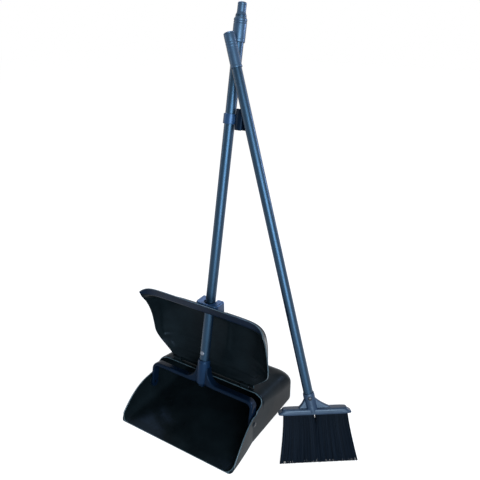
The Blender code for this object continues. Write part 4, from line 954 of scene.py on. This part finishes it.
class DUSTPAN_OT_clip(bpy.types.Operator):
    """Build the collar on the handle, the open clip for the brush and its rivet"""
    bl_idname = "dustpan.clip"
    bl_label = "Brush clip"

    def execute(self, context):
        bore, rim = TUBE_RADIUS + GAP, COLLAR_RADIUS
        ring = turned([(bore, COLLAR_BOTTOM), (rim, COLLAR_BOTTOM), (rim, COLLAR_TOP),
                       (bore, COLLAR_TOP)], 0.0012, 64, ring=True)
        face = rim + 0.0010
        collar_seat = Matrix.Translation((0.0, 0.0, (COLLAR_BOTTOM + COLLAR_TOP) / 2.0))
        pad = plate(squarish(0.0050, 0.0080, 5.0),
                    [(rim - 0.0015, 1.0), (face - 0.0003, 1.0), (face, 0.94)], axis=0)
        # The collar wears the lit copy of the fork plastic: painted highlight.
        put("clip_collar_band", placed(joined(ring, placed(pad, collar_seat)), HANDLE), GUIDE,
            "handle", ["clip_collar"])
        turn = np.linspace(CLIP_MOUTH, 2.0 * math.pi - CLIP_MOUTH, 72)
        section = squarish(CLIP_WALL / 2.0, (CLIP_TOP - CLIP_BOTTOM) / 2.0, 9.0, 44)
        tip = np.minimum(1.0, 0.72 + 0.28 * np.minimum(turn - turn[0], turn[-1] - turn) / 0.10)
        radius = CLIP_BORE + CLIP_WALL / 2.0 + section[None, :, 0] * tip[:, None]
        height = section[None, :, 1] * (0.94 + 0.06 * tip[:, None])
        jaw = np.stack([CLIP_X + radius * np.cos(turn)[:, None], radius * np.sin(turn)[:, None],
                        height], axis=-1)
        low = face + GAP
        heel = plate(squarish(0.0050, 0.0170, 6.0),
                     [(low, 0.95), (low + 0.0004, 1.0), (low + 0.0021, 1.0)], axis=0)
        clip_seat = Matrix.Translation((0.0, 0.0, (CLIP_TOP + CLIP_BOTTOM) / 2.0))
        put("brush_clip_jaw", placed(joined(skin(jaw), heel), HANDLE @ clip_seat), FORK, "handle",
            ["brush_clip"])
        start, end = TUBE_RADIUS + 2 * GAP, CLIP_X - CLIP_BORE - GAP
        rivet = [(0.0, start), (0.0022, start), (0.0022, end - 0.0003), (0.0018, end), (0.0, end)]
        seat = HANDLE @ collar_seat @ Matrix.Rotation(math.pi / 2.0, 4, "Y")
        put("clip_rivet_turned", placed(turned(rivet, 0.0003, 32, steps=3), seat), STEEL, "handle",
            ["clip_rivet"])
        return {"FINISHED"}


# ---- brush ------------------------------------------------------------------------------------
class BrushSizes(bpy.types.PropertyGroup):
    filaments: IntProperty(name="Filaments", description="Filaments in each bunch", default=1500)
    filament_width: FloatProperty(name="Filament width", description="Width of one filament",
                                  default=0.00075, unit="LENGTH")
    splay: FloatProperty(name="Splay", description="How far a filament's foot strays",
                         default=0.0008, unit="LENGTH")


def block_skin():
    """Superellipse loops stacked over the block's height: ends slant in, edges are rounded."""
    root, top = BRISTLE_LENGTH, BRISTLE_LENGTH + BLOCK_HEIGHT
    half, thick = BLOCK_HALF, BLOCK_THICK / 2.0
    rows = [(half - 0.0012, thick - 0.0012, root), (half - 0.0004, thick - 0.0004, root + 0.0003),
            (half, thick, root + 0.0011), (half - 0.0008, thick, root + 0.0036)]
    for part in np.linspace(0.0, 1.0, 5):
        rows.append((half - 0.0010 - (BLOCK_SLANT - 0.0020) * part, thick,
                     root + 0.0040 + (BLOCK_HEIGHT - 0.0086) * part))
    for turn in np.radians(np.linspace(15.0, 90.0, 6)):
        rows.append((half - BLOCK_SLANT - 0.0040 * (1.0 - math.cos(turn)),
                     thick - 0.0045 * (1.0 - math.cos(turn)),
                     top - 0.0045 * (1.0 - math.sin(turn))))
    loops = []
    for across, deep, height in rows:
        loop = squarish(across, deep, 7.0, 96)
        loops.append(np.column_stack([loop[:, 0] + HEAD_SHIFT, loop[:, 1], np.full(96, height)]))
    for level, index in ((rows[0], 0), (rows[-1], -1)):
        inner = [loops[index].copy() for _ in range(2)]
        for loop, size in zip(inner, (0.7, 0.35)):
            loop[:, 0] = HEAD_SHIFT + (loop[:, 0] - HEAD_SHIFT) * size
            loop[:, 1] *= size
        loops = inner[::-1] + loops if index == 0 else loops + inner
    return skin(np.stack(loops))


def gusset(reach, share):
    """Web from the socket to the block's top: its edge is a hollow curve, its section rounded."""
    top = BRISTLE_LENGTH + BLOCK_HEIGHT
    rise = (math.cos(SOCKET_TILT) * BROOM_RISE - 0.004) * share
    lean = -math.sin(SOCKET_TILT) * BROOM_RISE * share
    t = np.linspace(0.0, 1.0, 16)
    height = top - 0.003 + (rise + 0.003) * t
    start = SOCKET_OFFSET + lean * t
    far = SOCKET_OFFSET + math.copysign(BROOM_SOCKET, reach) + reach
    crown = SOCKET_OFFSET + lean + math.copysign(BROOM_SOCKET - 0.003, reach)
    edge = far + (crown - far) * (0.35 * t + 0.65 * (1.0 - (1.0 - t) ** 2.0) ** 0.9)
    loop = squarish(1.0, 1.0, 5.0, 36)
    width = 0.0056 - 0.0008 * t
    middle, half = (start + edge) / 2.0, (edge - start) / 2.0
    x = middle[:, None] + half[:, None] * loop[None, :, 0]
    y = width[:, None] * loop[None, :, 1]
    return skin(np.stack([x, y, np.broadcast_to(height[:, None], x.shape)], axis=-1))


def bunch_place(side, part, u, v):
    """Point in a bunch: part 0 at the foot to 1 at the block, u from the slit to the outer end,
    v from the front to the back. The foot is cut level with the floor."""
    flare = 1.0 - part
    outer = ROOT_HALF + (FOOT_HALF - ROOT_HALF) * flare ** 1.3 - END_SLANT * (v + 1.0) / 2.0
    inner = 0.0004 + (SPLIT / 2.0) * np.clip(1.0 - flare / 0.35, 0.0, 1.0) ** 1.5
    thick = (ROOT_THICK + (FOOT_THICK - ROOT_THICK) * flare) / 2.0 - 0.0006
    x = side * (inner + (outer - inner) * u) + HEAD_SHIFT * part
    y = thick * v
    foot = y * math.tan(BRUSH_LEAN)
    root = BRISTLE_LENGTH - GAP
    return np.stack([x, y, foot + (root - foot) * part], axis=-1)


def bunch_core(side):
    """Closed heart of a bunch, set in behind the outer filaments; its near-black tone is painted
    shade between them.
    """
    part = np.linspace(0.05, 1.0, 24)[:, None]
    loop = squarish(1.0, 1.0, 9.0, 72)[None]
    u, v = 0.5 + 0.485 * loop[..., 0], 0.90 * loop[..., 1]
    return skin(bunch_place(side, part, u, v))


def bunch_filaments(side, sizes):
    """Square filaments, tapered to the foot, from the block to the floor. Most lie in the outer
    layers; each foot strays a little from its place."""
    rng = np.random.default_rng(11 if side > 0 else 23)
    count = sizes.filaments
    u, v = rng.uniform(0.004, 0.996, count), rng.uniform(-1.0, 1.0, count)
    shell = rng.uniform(size=count)
    v = np.where(shell < 0.40, -1.0 + 0.10 * rng.uniform(size=count), v)
    v = np.where((shell >= 0.40) & (shell < 0.62), 1.0 - 0.10 * rng.uniform(size=count), v)
    u = np.where((shell >= 0.62) & (shell < 0.78), 1.0 - 0.020 * rng.uniform(size=count), u)
    u = np.where((shell >= 0.78) & (shell < 0.90), 0.020 * rng.uniform(size=count), u)
    tuft = np.round(u * 17.0) / 17.0
    u_root = np.clip(u + (tuft - u) * 0.45, 0.0, 1.0)
    part = np.linspace(1.0, 0.0, 6)
    cut = rng.uniform(0.0, 0.014, count)
    level = part[None, :] * (1.0 - cut[:, None]) + cut[:, None]
    bend = (1.0 - part[None, :]) ** 1.4
    path = bunch_place(side, level, u_root[:, None] * (1 - bend) + u[:, None] * bend,
                       v[:, None] + 0.0 * level)
    stray = rng.normal(0.0, sizes.splay * 0.45, (count, 2)).clip(-sizes.splay, sizes.splay)
    path[..., 0] -= side * np.abs(stray[:, :1]) * bend
    path[..., 1] -= np.sign(v)[:, None] * np.abs(stray[:, 1:]) * bend
    half = sizes.filament_width / 2.0 * (1.0 - 0.25 * bend)
    turn = rng.uniform(0.0, math.pi / 2.0, count)[:, None, None] + np.arange(4) * math.pi / 2.0
    ring = np.stack([np.cos(turn), np.sin(turn), 0.0 * turn], axis=-1) * half[..., None, None]
    points = path[:, :, None] + ring
    each = 4 * len(part)
    pattern = np.concatenate([cells(len(part), 4, True), [[0, 1, 2, 3]],
                              [[each - 1, each - 2, each - 3, each - 4]]])
    faces = (pattern[None] + (np.arange(count) * each)[:, None, None]).reshape(-1, 4)
    own = rng.beta(2.2, 2.6, count)
    streak = 0.5 + 0.5 * np.sin(u * 61.0 + 1.3 * np.sin(u * 23.0))
    # Painted shade: each filament darkens towards the block, by up to 45% at the root.
    shade = np.repeat(1.0 - 0.45 * part ** 3, 4)
    tone = np.repeat(own * 0.55 + streak * 0.45, each) * np.tile(shade, count)
    return points.reshape(-1, 3), faces, tone


class DUSTPAN_OT_brush_head(bpy.types.Operator):
    """Build the brush's block with its socket and webs"""
    bl_idname = "dustpan.brush_head"
    bl_label = "Brush head"

    def execute(self, context):
        bore, rim = BROOM_TUBE + GAP, BROOM_SOCKET
        socket = turned([(0.0, -0.0080), (rim + 0.0006, -0.0080), (rim, 0.0060),
                         (rim, BROOM_RISE - 0.0040), (rim - 0.0005, BROOM_RISE),
                         (bore, BROOM_RISE), (bore, 0.0057), (0.0, 0.0057)], 0.0009)
        part = joined(placed(block_skin(), FOOT), placed(gusset(0.0385, 1.0), FOOT),
                      placed(gusset(-0.0200, 0.8), FOOT), placed(socket, BROOM))
        put("brush_block_moulded", part, BROOM_PLASTIC, "brush", ["brush_block"])
        face = BROOM_SOCKET + GAP
        screw = [(0.0, 0.0058), (0.0028, 0.0058), (0.0028, face), (0.0042, face),
                 (0.0040, face + 0.0006), (0.0030, face + 0.0012), (0.0, face + 0.0014)]
        seat = BROOM @ Matrix.Translation((0.0, 0.0, SCREW_HEIGHT)) @ FORWARD
        put("brush_screw_domed", placed(turned(screw, 0.0004, 36, steps=3), seat), DARK_STEEL,
            "brush", ["brush_screw"])
        return {"FINISHED"}


class DUSTPAN_OT_bristles(bpy.types.Operator):
    """Build the two bunches of bristles"""
    bl_idname = "dustpan.bristles"
    bl_label = "Bristles"

    def execute(self, context):
        for side, word in SIDES:
            name = "bristles_" + word
            core = put(name + "_core", placed(bunch_core(side), FOOT), NYLON, "brush")
            points, faces, tone = bunch_filaments(side, context.scene.dustpan_brush)
            hair = put(name + "_filaments", placed((points, faces), FOOT), NYLON, "brush", [name],
                       sharp=30.0, closed=False)
            # The core's tone of 0.08 is painted shade inside the bunch.
            for piece, tones in ((core, np.full(len(core.data.vertices), 0.08)), (hair, tone)):
                own = piece.data.attributes.new("tone", "FLOAT", "POINT")
                own.data.foreach_set("value", tones.astype(np.float32))
        return {"FINISHED"}


class DUSTPAN_OT_brush_handle(bpy.types.Operator):
    """Build the brush's tube, grip and end cap"""
    bl_idname = "dustpan.brush_handle"
    bl_label = "Brush handle"

    def execute(self, context):
        sides = context.scene.dustpan_handle.sides
        put("brush_handle_drawn_tube",
            placed(drawn_tube(BROOM_TUBE, 0.0060, BROOM_TOP, sides), BROOM), PAINT, "brush",
            ["brush_handle_tube"])
        bore, foot = BROOM_TUBE + GAP, BROOM_GRIP_BOTTOM
        rings = [BROOM_TOP - 0.0260, BROOM_TOP - 0.0210, BROOM_TOP - 0.0160]
        grip = [(bore, foot), (BROOM_FLANGE, foot), (BROOM_FLANGE, foot + 0.0030),
                (BROOM_GRIP, foot + 0.0040), *grooves(BROOM_GRIP, 0.0005, rings, 0.0020),
                (BROOM_GRIP, BROOM_TOP), (bore, BROOM_TOP)]
        put("brush_grip_sleeve", placed(turned(grip, 0.0007, sides, True, 3), BROOM), GRIP, "brush",
            ["brush_grip"])
        plug, seat = BROOM_TUBE - TUBE_WALL - GAP, BROOM_TOP + GAP
        turn = np.linspace(0.0, math.pi / 2.0, 12)[:-1]
        dome = np.column_stack([BROOM_GRIP * np.cos(turn),
                                seat + 0.0012 + (BROOM_CAP - 0.0012) * np.sin(turn)])
        cap = eased([(0.0, seat - 0.0160), (plug, seat - 0.0160), (plug, seat),
                     (BROOM_GRIP - 0.0003, seat)], 0.0006)
        cap = np.concatenate([cap, dome, [(0.0, seat + BROOM_CAP)]])
        put("brush_end_cap_domed", placed(lathe(cap, 64), BROOM), GRIP, "brush", ["brush_end_cap"])
        return {"FINISHED"}


# ---- stage ------------------------------------------------------------------------------------
class Finishes(bpy.types.PropertyGroup):
    black: FloatVectorProperty(name="Black plastic", subtype="COLOR", size=3,
                               default=(0.0019, 0.0033, 0.0041), description="Pan and lid")
    fork: FloatVectorProperty(name="Fork plastic", subtype="COLOR", size=3,
                              default=(0.0009, 0.0032, 0.0082),
                              description="Yoke, guide, collar and clip")
    paint: FloatVectorProperty(name="Handle paint", subtype="COLOR", size=3,
                               default=(0.0010, 0.0032, 0.0070),
                               description="Paint on the two tubes")
    grip: FloatVectorProperty(name="Grip plastic", subtype="COLOR", size=3,
                              default=(0.0045, 0.0105, 0.0230), description="Grips and caps")
    broom: FloatVectorProperty(name="Brush head plastic", subtype="COLOR", size=3,
                               default=(0.0045, 0.0115, 0.0250), description="Block and socket")
    bristles: FloatVectorProperty(name="Bristles", subtype="COLOR", size=3,
                                  default=(0.0016, 0.0032, 0.0060),
                                  description="Middle tone of the bristles")


class StageSizes(bpy.types.PropertyGroup):
    level: FloatProperty(name="Light level", description="Scales every lamp", default=1.0)
    floor_size: FloatProperty(name="Floor size", description="Side of the floor", default=14.0,
                              unit="LENGTH")


def lamp(name, place, aim, width, height, radiance, colour):
    """Flat rectangular lamp; its power is pi times its area times its radiance."""
    data = bpy.data.lights.new(name, "AREA")
    data.shape = "RECTANGLE"
    data.size, data.size_y = width, height
    data.energy = math.pi * width * height * radiance * bpy.context.scene.dustpan_stage.level
    data.color = colour
    thing = bpy.data.objects.new(name, data)
    bpy.context.scene.collection.objects.link(thing)
    thing.location = place
    thing.rotation_euler = (Vector(aim) - Vector(place)).to_track_quat("-Z", "Y").to_euler()


def seen_mask(tree):
    """One for camera, glossy and transmission rays."""
    ray = node(tree, "ShaderNodeLightPath").outputs
    first = maths(tree, "ADD", ray["Is Camera Ray"], ray["Is Glossy Ray"], clamp=True)
    return maths(tree, "ADD", first, ray["Is Transmission Ray"], clamp=True)


class DUSTPAN_OT_stage(bpy.types.Operator):
    """Build the floor, the lamps, the surroundings and the camera"""
    bl_idname = "dustpan.stage"
    bl_label = "Stage"

    def execute(self, context):
        scene = context.scene
        white = (1.0, 1.0, 1.0, 1.0)
        reach = scene.dustpan_stage.floor_size / 2.0
        mesh = bpy.data.meshes.new("floor")
        corners = [(x * reach, y * reach, FLOOR_LEVEL)
                   for x, y in ((-1, -1), (1, -1), (1, 1), (-1, 1))]
        mesh.from_pydata(corners, [], [(0, 1, 2, 3)])
        made, tree, shader = new_material("white floor")
        glow = maths(tree, "MULTIPLY", seen_mask(tree), FLOOR_GLOW)
        feed(tree, shader, {"Base Color": (0.22, 0.22, 0.22, 1.0), "Roughness": 0.9,
                            "Specular IOR Level": 0.0, "Emission Color": white,
                            "Emission Strength": glow})
        mesh.materials.append(made)
        floor = bpy.data.objects.new("floor", mesh)
        scene.collection.objects.link(floor)
        scene.world = bpy.data.worlds.new("surroundings")
        scene.world.use_nodes = True
        tree = scene.world.node_tree
        feed(tree, tree.nodes["Background"], {
            "Color": white, "Strength": mapped(tree, seen_mask(tree), 0.0, 1.0, ROOM_GLOW, 1.0)})
        for row in LAMPS:
            lamp(*row)
        data = bpy.data.cameras.new("camera")
        data.lens, data.sensor_width = 41.25, 36.0
        camera = bpy.data.objects.new("camera", data)
        scene.collection.objects.link(camera)
        camera.location = (0.611, -0.838, 0.898)
        camera.rotation_euler = (math.radians(66.0), 0.0, math.radians(32.22))
        scene.camera = camera
        scene.view_settings.view_transform = "Standard"
        return {"FINISHED"}


class DUSTPAN_PT_build(bpy.types.Panel):
    """Sizes, finishes and build steps of the dust pan and brush"""
    bl_label = "Dust pan"
    bl_idname = "DUSTPAN_PT_build"
    bl_space_type = "VIEW_3D"
    bl_region_type = "UI"
    bl_category = "Dust pan"

    def draw(self, context):
        for owner, group in GROUPS:
            for name in group.__annotations__:
                self.layout.prop(getattr(context.scene, owner), name)
        for step in STEPS:
            self.layout.operator(step.bl_idname)


STEPS = (DUSTPAN_OT_stage, DUSTPAN_OT_pan, DUSTPAN_OT_pins, DUSTPAN_OT_lid, DUSTPAN_OT_guide,
         DUSTPAN_OT_yoke, DUSTPAN_OT_handle, DUSTPAN_OT_clip, DUSTPAN_OT_brush_head,
         DUSTPAN_OT_bristles, DUSTPAN_OT_brush_handle)
GROUPS = (("dustpan_pan", PanSizes), ("dustpan_lid", LidSizes), ("dustpan_handle", HandleSizes),
          ("dustpan_brush", BrushSizes), ("dustpan_finishes", Finishes),
          ("dustpan_stage", StageSizes))


def register():
    for name, group in GROUPS:
        bpy.utils.register_class(group)
        setattr(bpy.types.Scene, name, PointerProperty(type=group))
    for step in STEPS:
        bpy.utils.register_class(step)
    bpy.utils.register_class(DUSTPAN_PT_build)


def unregister():
    bpy.utils.unregister_class(DUSTPAN_PT_build)
    for step in reversed(STEPS):
        bpy.utils.unregister_class(step)
    for name, group in reversed(GROUPS):
        delattr(bpy.types.Scene, name)
        bpy.utils.unregister_class(group)


def main():
    register()
    for step in STEPS:
        family, action = step.bl_idname.split(".")
        getattr(getattr(bpy.ops, family), action)()


if __name__ == "__main__":
    main()
